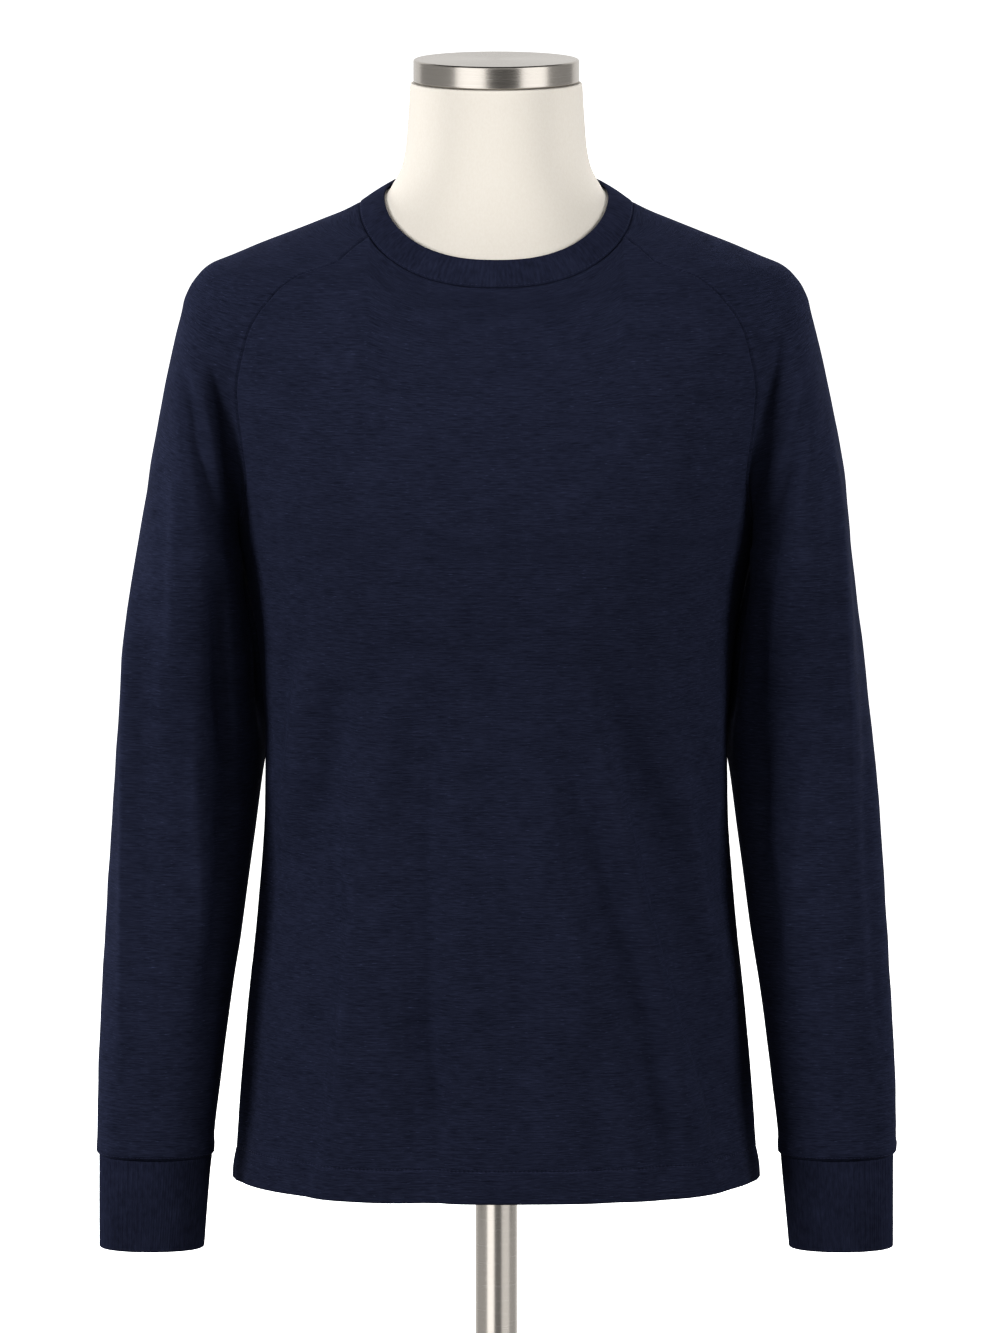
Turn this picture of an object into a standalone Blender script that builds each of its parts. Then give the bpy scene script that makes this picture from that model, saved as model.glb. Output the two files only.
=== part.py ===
"""A crew neck sweater with raglan sleeves, hanging on a limbless dress form.

The form stands on a short pole and a round plate. The origin is on the floor under the middle
of the plate, +Z is up, the wearer would face -Y, and +X is on the right of someone facing the
front. All sizes below are in millimetres, and heights are measured from the sweater's hem;
solid() turns a mesh's points into metres above the floor.
"""

import math

import bmesh
import bpy
import numpy as np

# ---------------------------------------------------------------- driving dimensions
HEM_ABOVE_FLOOR = 334.0
CLOTH = 1.8                 # thickness of the knitted cloth
RIB = 2.4                   # thickness of the collar and the cuffs
SEAM = 0.3                  # gap between neighbouring pieces
FRONT, BACK = -1, 1         # which way a panel faces along Y

# The cloth round the torso. A level section follows
# (|x| / half_width) ** flatness + (|y| / depth) ** roundness = 1, with its own depth each way.
TORSO_COLUMNS = "height half_width front back flatness roundness"
TORSO_ROWS = [
    (0, 178.3, 98, 104, 3.0, 1.67),
    (55, 174.8, 98.5, 103, 3.0, 1.67),
    (121, 169.0, 99, 101, 3.0, 1.67),
    (190, 161.8, 99.5, 98, 3.0, 1.67),
    (258, 157.1, 100, 96.5, 3.0, 1.67),
    (300, 156.6, 101.5, 96.5, 3.0, 1.67),
    (361, 160.5, 107, 100, 3.0, 1.67),
    (412, 168.5, 115.5, 106, 3.0, 1.67),
    (440, 175.0, 118.5, 109.5, 3.0, 1.67),
    (473, 181.0, 120, 112.5, 3.0, 1.67),
    (513, 190.0, 117, 112.5, 3.0, 1.67),
    (562, 203.0, 108, 107, 2.85, 1.69),
    (590, 208.3, 100, 103, 2.6, 1.73),
    (601, 208.8, 95, 101, 2.4, 1.76),
    (609.8, 206.7, 91.8, 99, 2.25, 1.79),
    (620.8, 200.4, 88.3, 96.5, 2.1, 1.85),
    (627, 193.2, 82.7, 95, 2.0, 1.89),
    (632, 180.9, 77.4, 93, 2.0, 1.93),
    (640.5, 160.5, 67.7, 90, 2.0, 2.0),
    (650.8, 133.3, 55.5, 86.5, 2.0, 2.0),
    (656.2, 119.7, 48.5, 84.5, 2.0, 2.0),
    (661.7, 106.0, 40.6, 82.5, 2.0, 2.0),
    (668, 92.6, 29, 80, 2.0, 2.0),
    (675, 79.0, 15, 77.3, 2.0, 2.0),
]

# The collar's lower edge, where it is sewn on, and its free upper edge: oval rings, whose plan
# follows |x| ** n + |y| ** n with its own n at the front and the back. Each dips to its front
# height and rises to its back height.
COLLAR_SEAM = dict(half_width=92.6, front=88.0, back=80.0, side_height=668.0, front_height=621.2,
                   back_height=668.5)
COLLAR_EDGE = dict(half_width=75.5, front=78.0, back=66.0, side_height=674.0, front_height=639.0,
                   back_height=686.0)
PLAN_POWER = {"front": 2.4, "back": 2.0}
FRONT_DIP = 1.38            # the power of the share of depth that the dip follows
BACK_RISE = 1.9             # how early a ring reaches its back height
COLLAR_CROWN = 1.3          # how far the middle of the band stands proud of its two edges

# The raglan seams run from the underarm to the collar. depth_share is the seam's depth as a
# share of the torso's depth at that height.
SEAM_COLUMNS = "height depth_share"
FRONT_SEAM_ROWS = [
    (440, 0.0), (448, 0.13), (462, 0.30), (491, 0.428), (519, 0.4615), (546.5, 0.509),
    (574.5, 0.592), (602, 0.658), (625, 0.713), (636.4, 0.785), (643, 0.776), (651, 0.7655),
]
BACK_SEAM_ROWS = [
    (440, 0.0), (448, 0.13), (462, 0.30), (491, 0.43), (519, 0.465), (546.5, 0.51),
    (574.5, 0.595), (602, 0.65), (625, 0.70), (643, 0.673), (656, 0.643), (668.3, 0.7075),
]
SEAM_ANGLES = {FRONT: 24.9, BACK: 45.0}     # where they meet the collar's ring

# The hanging sleeve, as a level section at each height: how far its inner and outer sides are
# from the middle of the garment, how far it reaches to the front and to the back, and how far
# back of its outer side its inner side lies, where it tucks in behind the widest line of the body.
SLEEVE_COLUMNS = "height inner outer front back lag"
SLEEVE_ROWS = [
    (20.3, 192.7, 270.7, 42.5, 19.5, 0),
    (27, 191.9, 271.4, 43.8, 20.7, 0),
    (35, 191.4, 271.7, 44, 21.5, 0),
    (69, 187.3, 271.2, 45, 27, 0),
    (104, 182.9, 269.8, 46, 32, 0),
    (138, 178.2, 268.1, 47, 37, 1),
    (172, 172.7, 266.1, 47.5, 42, 3),
    (207, 168.0, 263.7, 48, 45.5, 7),
    (241, 163.2, 261.3, 48, 48.5, 12),
    (275, 158.6, 258.9, 49, 52, 18),
    (300, 154.5, 256.9, 51, 55, 22),
    (327, 152.0, 254.3, 54, 58.5, 23),
    (361, 152.5, 251.3, 59, 64, 18),
    (395, 157.0, 247.2, 64, 70, 9),
    (430, 163.5, 242.8, 68, 74, 2),
    (464, 167.5, 238.0, 69, 75, 0),
    (499, 168.5, 232.6, 67, 71, 0),
    (533, 168.0, 226.1, 62, 64, 0),
    (567, 166.0, 219.3, 57, 58, 0),
    (601, 162.0, 210.8, 50, 52, 0),
    (640, 160.0, 200.0, 45, 48, 0),
]
SLEEVE_SQUARENESS = 2.1
CUFF_ROWS = [
    (-44, 199.2, 270.0, 38, 13, 0),
    (-17, 196.9, 270.0, 39.8, 15.8, 0),
    (20, 193.5, 269.9, 41.3, 18.7, 0),
]

# Rows of the sleeve from the underarm up to the collar. Each runs from the front seam over the
# outside of the arm or the shoulder to the back seam. hang is how fully the row leaves the
# shoulder for the hanging sleeve, reach is how far round the sleeve's section it comes, in
# degrees each way from the outside, and bend is how it climbs from the seams to its middle.
YOKE_COLUMNS = "front_height outer_height back_height hang reach bend"
YOKE_ROWS = [
    (440, 440, 440, 1.0, 180, 2.0),
    (451, 459, 451, 1.0, 170, 2.0),
    (465, 480, 465, 1.0, 160, 2.0),
    (484, 505, 484, 1.0, 148, 2.0),
    (506, 530, 506, 1.0, 136, 2.0),
    (530, 555, 530, 1.0, 124, 2.0),
    (556, 579, 556, 0.97, 112, 2.0),
    (581, 598, 581, 0.8, 102, 1.8),
    (601, 612, 604, 0.3, 94, 1.6),
    (616, 622, 622, 0.0, 90, 1.4),
    (627, 632, 636, 0.0, 90, 1.3),
    (636, 641, 648, 0.0, 90, 1.2),
    (643, 650.8, 657.5, 0.0, 90, 1.2),
    (647.6, 659.7, 664, 0.0, 90, 1.3),
    (651, 668, 668.3, 0.0, 90, 1.38),
]
ON_SHOULDER = 0.9           # a row that hangs less than this lies on the shoulder
SEAM_HOLD = 6.0             # how closely a row keeps to the shoulder near its seams
BODY_CLEARANCE = 2.0        # least distance from the hanging sleeve to the torso's cloth
CLEARANCE_ONSET = 3.0       # how softly the sleeve meets that distance
PANEL_LEVELS = [0, 23, 75, 130, 185, 240, 290, 340, 392]
SLEEVE_LEVELS = [20.3, 28, 70, 125, 180, 235, 288, 338, 382, 416]
PANEL_STEPS = 9             # quads from the centre line to each side of a panel
SLEEVE_STEPS = 24           # quads round a sleeve
COLLAR_ROWS = (0.0, 0.45, 1.0)          # shares of the band's width
DIP_ONSET = 3.0             # how late the panels' rows dip like the neckline as they climb

# The main folds: a trough, or a ridge whose depth is negative, along a line. Each row is
# (start_across, start_height, end_across, end_height, width, depth). Across is x on a panel, and
# on a sleeve it is the share of the way from the outside of the arm to the front (1) or back (-1).
SLEEVE_FOLDS = [
    (0.52, 560, 0.72, 440, 0.11, 4.0),
    (0.72, 440, 0.78, 300, 0.10, 3.0),
    (0.30, 560, 0.48, 420, 0.10, -2.5),
    (-0.52, 560, -0.72, 440, 0.11, 4.0),
    (-0.72, 440, -0.78, 300, 0.10, 3.0),
]
FRONT_FOLDS = [
    (-38, 380, -36, 30, 20, 3.2),
    (64, 285, 138, 50, 17, 3.6),
    (-72, 350, -126, 50, 20, 2.6),
    (100, 330, 156, 90, 14, 2.4),
]
BACK_FOLDS = [
    (-60, 330, -110, 40, 22, 3.0),
    (20, 360, 34, 40, 22, 2.6),
    (90, 300, 140, 60, 18, 3.0),
]
FOLD_FADE = 70.0            # millimetres over which a fold dies away past its ends

# The form: how far its cover is inside the cloth, by height, and its neck and foot.
EASE_COLUMNS = "height ease"
EASE_ROWS = [(38, 13), (190, 12), (300, 9), (400, 4), (480, 2.0), (560, 1.9), (610, 1.9), (640, 1.2),
             (669, 1.6)]
FORM_BOTTOM = 35.0
FORM_EDGE = 3.0             # chamfer round the foot of the torso
FORM_LEVELS = [80, 150, 220, 290, 350, 400, 440, 480, 520, 555, 580, 596]
SHOULDER_RISE = [0.22, 0.40, 0.55, 0.68, 0.79, 0.89, 1.0]
FORM_STEPS = 10             # quads in each quarter of the form
NECK_COLUMNS = "height half_width front back"
NECK_ROWS = [(693, 63.8, 62.3, 60.6), (706, 61.0, 60.6, 59.8), (724, 59.5, 59.2, 58.9),
             (747.5, 58.1, 58.1, 58.1), (750, 57.0, 57.0, 57.0)]
NECK_CLIMB = (0.35, 0.68)   # rows between the collar and the neck's own rows
NECK_HOLLOW = 1.15          # how quickly the neck closes in above the collar
EASE_AT_COLLAR = 1.0
CAP_RADIUS = 55.9
CAP_HEIGHT = 15.6
CAP_CHAMFER = 1.5
POLE_RADIUS = 14.3
POLE_SOCKET = 60.0          # how far the pole goes up into the form
BASE_RADIUS = 150.0
BASE_HEIGHT = 10.0
BASE_CHAMFER = 1.5
BASE_SOCKET = 6.0           # how far the pole goes down into the plate
ROUND_STEPS = 48


# ---------------------------------------------------------------- curves and sections
def smooth_through(places, values, at):
    """A curve through the values that doesn't overshoot between them (monotone cubic)."""
    steps = np.diff(places)
    rates = np.diff(values) / steps
    slopes = np.concatenate([rates[:1], np.zeros(len(rates) - 1), rates[-1:]])
    for i in range(1, len(rates)):
        if rates[i - 1] * rates[i] > 0:
            slopes[i] = 2 * rates[i - 1] * rates[i] / (rates[i - 1] + rates[i])
    at = np.clip(at, places[0], places[-1])
    i = np.clip(np.searchsorted(places, at) - 1, 0, len(steps) - 1)
    t = (at - places[i]) / steps[i]
    return (values[i] * (1 + 2 * t) * (1 - t) ** 2 + values[i + 1] * t * t * (3 - 2 * t)
            + steps[i] * (slopes[i] * t * (1 - t) ** 2 - slopes[i + 1] * t * t * (1 - t)))


class Profile:
    """A table by height whose other columns are read as smooth curves."""

    def __init__(self, columns, rows):
        self.rows = np.array(rows, float)
        self.at = {name: self.rows[:, i] for i, name in enumerate(columns.split())}

    def __call__(self, name, height):
        return smooth_through(self.at["height"], self.at[name], np.asarray(height, float))


TORSO = Profile(TORSO_COLUMNS, TORSO_ROWS)
SLEEVE = Profile(SLEEVE_COLUMNS, SLEEVE_ROWS)
CUFF = Profile(SLEEVE_COLUMNS, CUFF_ROWS)
NECK = Profile(NECK_COLUMNS, NECK_ROWS)
EASE = Profile(EASE_COLUMNS, EASE_ROWS)
SEAMS = {FRONT: Profile(SEAM_COLUMNS, FRONT_SEAM_ROWS), BACK: Profile(SEAM_COLUMNS, BACK_SEAM_ROWS)}
YOKE = {name: np.array(column, float) for name, column in zip(YOKE_COLUMNS.split(), zip(*YOKE_ROWS))}
SEAM_HEIGHTS = {FRONT: YOKE["front_height"], BACK: YOKE["back_height"]}


def unit(vectors):
    return vectors / np.maximum(np.linalg.norm(vectors, axis=-1, keepdims=True), 1e-9)


def smooth_step(t):
    t = np.clip(t, 0, 1)
    return t * t * (3 - 2 * t)


def evenly(points, count):
    """The polyline through the points, read at count + 1 places that are equally far apart."""
    lengths = np.concatenate([[0], np.cumsum(np.linalg.norm(np.diff(points, axis=0), axis=1))])
    places = np.linspace(0, lengths[-1], count + 1)
    return np.stack([np.interp(places, lengths, column) for column in points.T], axis=1)


def torso_depth(height, side):
    return TORSO("front" if side == FRONT else "back", height)


def torso_half_width(height, y):
    """Half the torso's width at this height, measured where it is y deep."""
    side_depth = np.where(np.asarray(y) < 0, TORSO("front", height), TORSO("back", height))
    share = np.clip(np.abs(y) / side_depth, 0, 1)
    inside = 1 - share ** TORSO("roundness", height)
    return TORSO("half_width", height) * inside ** (1 / TORSO("flatness", height))


def torso_surface(height, x, side):
    """The point of the torso's cloth at this height and x."""
    share = np.clip(np.abs(x) / TORSO("half_width", height), 0, 1)
    inside = 1 - share ** TORSO("flatness", height)
    y = side * torso_depth(height, side) * inside ** (1 / TORSO("roundness", height))
    return np.stack(np.broadcast_arrays(x, y, height), axis=-1).astype(float)


def torso_normal(points):
    """Which way the torso's cloth faces at these points of it."""
    def beyond(p):
        depth = np.where(p[..., 1] < 0, TORSO("front", p[..., 2]), TORSO("back", p[..., 2]))
        return ((np.abs(p[..., 0]) / TORSO("half_width", p[..., 2])) ** TORSO("flatness", p[..., 2])
                + (np.abs(p[..., 1]) / depth) ** TORSO("roundness", p[..., 2]))
    step = 0.2
    gradient = [beyond(points + step * axis) - beyond(points - step * axis) for axis in np.eye(3)]
    return unit(np.stack(gradient, axis=-1))


def across_torso(height, end_share, side, count):
    """Points of the torso's section, from the centre line to where it is end_share as deep."""
    turn = math.acos(end_share ** (TORSO("roundness", height) / 2)) * np.linspace(0, 1, 400) ** 1.5
    x = TORSO("half_width", height) * np.sin(turn) ** (2 / TORSO("flatness", height))
    y = side * torso_depth(height, side) * np.cos(turn) ** (2 / TORSO("roundness", height))
    return evenly(np.stack([x, y], axis=1), count)


def oval(ring, angle):
    """Points of one of the collar's rings. The angle is 0 at the right and 90 at the back."""
    across, along = np.cos(np.radians(angle)), np.sin(np.radians(angle))
    at_front = along < 0
    power = 2 / np.where(at_front, PLAN_POWER["front"], PLAN_POWER["back"])
    share = np.abs(along) ** power
    depth = np.where(at_front, -ring["front"], ring["back"])
    dip = (ring["front_height"] - ring["side_height"]) * share ** FRONT_DIP
    rise = (ring["back_height"] - ring["side_height"]) * (1 - (1 - share) ** BACK_RISE)
    return np.stack([ring["half_width"] * np.sign(across) * np.abs(across) ** power, depth * share,
                     ring["side_height"] + np.where(at_front, dip, rise)], axis=-1)


def even_angles(start, end, count):
    """Angles whose points on the collar's seam are equally far apart."""
    angle = np.linspace(start, end, 721)
    points = oval(COLLAR_SEAM, angle)
    lengths = np.concatenate([[0], np.cumsum(np.linalg.norm(np.diff(points, axis=0), axis=1))])
    return np.interp(np.linspace(0, lengths[-1], count + 1), lengths, angle)


def neckline(angle):
    """The panels' top edge: the collar's seam, less the gap along the cloth."""
    down = 0.2 + 0.8 * np.abs(np.sin(np.radians(angle)))    # the cloth is steepest at the front
    points = oval(COLLAR_SEAM, angle)
    points[..., 2] -= SEAM * down
    points[..., :2] *= 1 + SEAM / COLLAR_SEAM["half_width"]
    return points


def collar_surface(angle, share):
    """Points of the collar's outer face at a share of its width, and which way it faces there."""
    def point(angle, share):
        low, high = oval(COLLAR_SEAM, angle), oval(COLLAR_EDGE, angle)
        turn = np.radians(angle)
        around = np.stack([-np.sin(turn), np.cos(turn), 0 * turn], axis=-1)
        proud = unit(np.cross(around, high - low))
        return low + (high - low) * share + proud * COLLAR_CROWN * 4 * share * (1 - share)
    around = point(angle + 0.5, share) - point(angle - 0.5, share)
    upwards = point(angle, share + 0.01) - point(angle, share - 0.01)
    return point(angle, share), unit(np.cross(around, upwards))


def facing_at_collar(points):
    """Which way the cloth faces along the collar's seam, so that its edge lies along the collar's."""
    ring = COLLAR_SEAM
    depth = np.where(points[:, 1] < 0, ring["front"], ring["back"])
    power = np.where(points[:, 1] < 0, PLAN_POWER["front"], PLAN_POWER["back"]) / 2
    angle = np.degrees(np.arctan2(np.sign(points[:, 1]) * np.abs(points[:, 1] / depth) ** power,
                                  np.sign(points[:, 0]) * np.abs(points[:, 0] / ring["half_width"]) ** power))
    return collar_surface(angle, 0.0)[1]


def seam_line(side, edge):
    """The raglan seam from the underarm to the collar, and the same for the cloth beside it.

    edge is -1 for the edge of the front or back panel and 1 for the edge of the sleeve. Returns
    the points of that edge, half the gap from the seam, and which way the torso faces there.
    """
    heights = SEAM_HEIGHTS[side]
    y = side * SEAMS[side]("depth_share", heights) * torso_depth(heights, side)
    points = np.stack([torso_half_width(heights, y), y, heights], axis=1)
    points[-1] = neckline(side * SEAM_ANGLES[side])
    facing = torso_normal(points)
    along = unit(np.gradient(points, axis=0))
    along[0] = (0, side, 0)
    towards_sleeve = -side * unit(np.cross(along, facing))
    return points + edge * SEAM / 2 * towards_sleeve, facing


def folded(points, facing, across, folds):
    """Moves the points in along the folds. across is each point's place from side to side."""
    sunk = np.zeros(across.shape)
    for fold in folds:
        start_across, start_height, end_across, end_height, width, depth = fold
        height = points[..., 2]
        t = (height - start_height) / (end_height - start_height)
        middle = start_across + (end_across - start_across) * np.clip(t, 0, 1)
        past = np.maximum(t - 1, -t) * abs(end_height - start_height)
        fade = 1 - smooth_step((past + FOLD_FADE / 2) / FOLD_FADE)
        sunk += depth * fade * np.exp(-(((across - middle) / width) ** 2))
    return points - facing * sunk[..., None]


# ---------------------------------------------------------------- meshes
def colour(red, green, blue):
    """A colour given in everyday 0 to 255 values, as the shader wants it."""
    def linear(value):
        value /= 255
        return value / 12.92 if value <= 0.04045 else ((value + 0.055) / 1.055) ** 2.4
    return linear(red), linear(green), linear(blue), 1.0


def material(name, shade, roughness, metallic=0.0):
    made = bpy.data.materials.new(name)
    made.use_nodes = True
    shader = made.node_tree.nodes["Principled BSDF"]
    shader.inputs["Base Color"].default_value = shade
    shader.inputs["Roughness"].default_value = roughness
    shader.inputs["Metallic"].default_value = metallic
    made.diffuse_color = shade
    return made


def solid(name, points, faces, finish, sharp=40.0):
    """An object from points in millimetres above the hem."""
    points = (np.asarray(points, float) + (0, 0, HEM_ABOVE_FLOOR)) / 1000
    mesh = bpy.data.meshes.new(name)
    mesh.from_pydata(points.tolist(), [], [list(face) for face in faces])
    work = bmesh.new()
    work.from_mesh(mesh)
    bmesh.ops.recalc_face_normals(work, faces=work.faces)
    work.to_mesh(mesh)
    work.free()
    mesh.shade_smooth()
    mesh.set_sharp_from_angle(angle=math.radians(sharp))
    mesh.materials.append(finish)
    made = bpy.data.objects.new(name, mesh)
    bpy.context.scene.collection.objects.link(made)
    return made


def shell(name, grid, facing, thickness, finish, closed_rows=0, mirrored=False):
    """A wall of cloth from the grid of its outer points, thickened inwards.

    The first closed_rows rows of the grid are rings, whose last column is their first again.
    """
    rows, columns = grid.shape[:2]
    number = np.arange(rows * columns).reshape(rows, columns)
    number[:closed_rows, -1] = number[:closed_rows, 0]
    sheet = [(number[r, c], number[r, c + 1], number[r + 1, c + 1], number[r + 1, c])
             for r in range(rows - 1) for c in range(columns - 1)]
    used, sheet = np.unique(np.array(sheet), return_inverse=True)
    sheet = sheet.reshape(-1, 4)
    outer = grid.reshape(-1, 3)[used]
    inner = outer - thickness * facing.reshape(-1, 3)[used]
    count = len(outer)
    edges = {(face[i], face[(i + 1) % 4]) for face in sheet.tolist() for i in range(4)}
    rim = []
    for a, b in sorted(edges):
        if (b, a) not in edges:
            face = (b, a, a + count, b + count)
            # Each strip splits from its higher outer corner, as the strip across the gap does.
            rim.append(face if outer[b, 2] >= outer[a, 2] else face[1:] + face[:1])
    faces = sheet.tolist() + (sheet[:, ::-1] + count).tolist() + rim
    points = np.concatenate([outer, inner])
    if mirrored:
        points = points * (-1, 1, 1)
    return solid(name, points, faces, finish)


def turned(name, rings, finish):
    """A solid through closed rings of equal counts, with a flat face on the first and the last."""
    count = len(rings[0])
    faces = [list(range(count))[::-1], [(len(rings) - 1) * count + i for i in range(count)]]
    for r in range(len(rings) - 1):
        for i in range(count):
            j = (i + 1) % count
            faces.append((r * count + i, r * count + j, (r + 1) * count + j, (r + 1) * count + i))
    return solid(name, np.concatenate(rings), faces, finish, sharp=30.0)


def circle(radius, height, count=ROUND_STEPS):
    turn = np.arange(count) * 2 * math.pi / count
    return np.stack([radius * np.cos(turn), radius * np.sin(turn), np.full(count, height)], axis=1)


def facing_of(grid, closed_rows):
    """Which way each point of a grid faces, from its neighbours.

    Rows go up, and columns go to the right of someone who looks at the cloth from outside.
    """
    along = np.gradient(grid, axis=1)
    up = np.gradient(grid, axis=0)
    for part in (along, up):
        part[:closed_rows, [0, -1]] = part[:closed_rows, [0, -1]].mean(axis=1, keepdims=True)
    return unit(np.cross(along, up))


# ---------------------------------------------------------------- the sweater
def half_panel(side):
    """The right half of the front or the back: rows of points from the centre line outwards."""
    rows = []
    for height in PANEL_LEVELS:
        section = across_torso(height, 0.0, side, PANEL_STEPS)
        rows.append(np.column_stack([section, np.full(PANEL_STEPS + 1, float(height))]))
    edge, _ = seam_line(side, -1)
    top = neckline(even_angles(side * 90, side * SEAM_ANGLES[side], PANEL_STEPS))
    heights = SEAM_HEIGHTS[side]
    for row, height in enumerate(heights[:-1]):
        share = SEAMS[side]("depth_share", height)
        climb = (height - heights[0]) / (heights[-1] - heights[0])
        x = across_torso(height, share, side, PANEL_STEPS)[:, 0]
        dip = np.interp(x, top[:, 0], top[:, 2]) - top[-1, 2]
        points = torso_surface(height + dip * climb ** DIP_ONSET, x, side)
        points[-1] = edge[row]
        rows.append(points)
    top[-1] = edge[-1]
    rows.append(top)
    half = np.array(rows)
    half[: len(PANEL_LEVELS) + 1, -1, 1] = side * SEAM / 2
    return half


def make_panel(name, side, folds, finish):
    half = half_panel(side)
    facing = torso_normal(half)
    other = half[:, :0:-1] * (-1, 1, 1)
    other_facing = facing[:, :0:-1] * (-1, 1, 1)
    grid = np.concatenate([other, half], axis=1)
    facing = np.concatenate([other_facing, facing], axis=1)
    facing[-1] = facing_at_collar(grid[-1])
    grid = folded(grid, facing, grid[..., 0], folds)
    if side == BACK:
        grid, facing = grid[:, ::-1], facing[:, ::-1]
    return shell(name, grid, facing, CLOTH, finish)


def sleeve_section(profile, height, share, reach=180.0):
    """Points of the sleeve's level section at shares -1 (back) to 1 (front) of its reach."""
    inner, outer = profile("inner", height), profile("outer", height)
    front, back = profile("front", height), profile("back", height)
    turn = np.radians(np.linspace(-reach, reach, 361))
    power = 2 / SLEEVE_SQUARENESS
    x = (np.sign(np.cos(turn)) * np.abs(np.cos(turn)) ** power * (outer - inner) + outer + inner) / 2
    y = (-np.sign(np.sin(turn)) * np.abs(np.sin(turn)) ** power * (front + back) + back - front) / 2
    y += profile("lag", height) * (1 - np.cos(turn)) / 2
    dense = np.stack([x, y], axis=1)
    middle = evenly(dense[180:], 180)
    rest = evenly(dense[180::-1], 180)
    even = np.concatenate([rest[:0:-1], middle])
    return np.stack([np.interp(share, np.linspace(-1, 1, 361), column) for column in even.T], axis=1)


def clear_of_body(points, clearance):
    """Moves the points outwards until they are that far from the torso's cloth."""
    least = torso_half_width(points[:, 2], points[:, 1]) + clearance
    x = points[:, 0]
    pushed = (x + least + np.hypot(x - least, CLEARANCE_ONSET * clearance / BODY_CLEARANCE)) / 2
    points[:, 0] = np.where(clearance > 0, pushed, x)
    return points


def sleeve_grid():
    """The right sleeve's points, from the cuff up: columns from the front seam to the back."""
    share = np.linspace(1, -1, SLEEVE_STEPS + 1)
    away = np.abs(share)
    rows = []
    for height in SLEEVE_LEVELS:
        section = sleeve_section(SLEEVE, height, share)
        ring = np.column_stack([section, np.full(len(share), float(height))])
        rows.append(clear_of_body(ring, np.full(len(share), BODY_CLEARANCE)))
    edges, faces = zip(*[seam_line(side, 1) for side in (FRONT, BACK)])
    ends = np.where(share > 0, 0, 1)
    for row, (_, outer_height, _, hang, reach, bend) in enumerate(YOKE_ROWS):
        edge = np.array([line[row] for line in edges])[ends]
        lift = np.array([line[row] for line in faces])[ends] * SEAM * hang
        y = edge[:, 1] * away
        height = outer_height + (edge[:, 2] - outer_height) * away ** bend
        shoulder = np.column_stack([torso_half_width(height, y), y, height])
        if row == len(YOKE_ROWS) - 1:
            shoulder = neckline(np.where(share > 0, -SEAM_ANGLES[FRONT], SEAM_ANGLES[BACK]) * away)
        section = [sleeve_section(SLEEVE, level, place, reach)[0]
                   for level, place in zip(height, share[:, None])]
        hanging = np.column_stack([np.array(section), height])
        weight = hang * (1 - away ** SEAM_HOLD)[:, None]
        points = shoulder + (hanging - shoulder) * weight
        near_seam = np.minimum(1, 4 * (1 - away))
        points = clear_of_body(points, BODY_CLEARANCE * hang * near_seam)
        points[[0, -1]] = (edge + lift)[[0, -1]]
        if row == 0:
            points[[0, -1]] = points[[0, -1]].mean(axis=0)
        rows.append(points)
    return np.array(rows)


def make_sleeve(name, mirrored, finish):
    grid = sleeve_grid()
    closed = len(SLEEVE_LEVELS) + 1
    across = np.broadcast_to(np.linspace(1, -1, SLEEVE_STEPS + 1), grid.shape[:2])
    grid = folded(grid, facing_of(grid, closed), across, SLEEVE_FOLDS)
    facing = facing_of(grid, closed)
    shoulder = closed - 1 + np.flatnonzero(YOKE["hang"] < ON_SHOULDER)
    for column in (0, -1):
        facing[shoulder, column] = torso_normal(grid[shoulder, column])
    facing[-1] = facing_at_collar(grid[-1])
    return shell(name, grid, facing, CLOTH, finish, closed, mirrored)


def collar_angles():
    """Places for the collar's points: facing the panels' top points and half of the sleeves'."""
    front = even_angles(-90, -SEAM_ANGLES[FRONT], PANEL_STEPS)
    back = even_angles(SEAM_ANGLES[BACK], 90, PANEL_STEPS)
    shares = np.linspace(0, 1, SLEEVE_STEPS // 4 + 1)[:-1]
    right = np.concatenate([front[:-1], -SEAM_ANGLES[FRONT] * (1 - shares), SEAM_ANGLES[BACK] * shares, back])
    return np.concatenate([right, 180 - right[-2::-1]])


def make_collar(finish):
    angle = collar_angles()
    rows = [collar_surface(angle, share) for share in COLLAR_ROWS]
    grid, facing = (np.array(part) for part in zip(*rows))
    return shell("collar", grid, facing, RIB, finish, len(grid))


def make_cuff(name, mirrored, finish):
    share = np.linspace(1, -1, SLEEVE_STEPS + 1)
    grid = np.array([np.column_stack([sleeve_section(CUFF, row[0], share), np.full(len(share), row[0])])
                     for row in CUFF_ROWS])
    return shell(name, grid, facing_of(grid, len(grid)), RIB, finish, len(grid), mirrored)


# ---------------------------------------------------------------- the dress form and its stand
def full_ring(front, back):
    """Joins right-hand quarters, each from the side to the middle, into a ring that starts at the right."""
    return np.concatenate([back[:-1], (back * (-1, 1, 1))[:0:-1],
                           (front * (-1, 1, 1))[:-1], front[:0:-1]])


def inside_cloth(points):
    return points - torso_normal(points) * (CLOTH + EASE("ease", points[:, 2]))[:, None]


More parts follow.
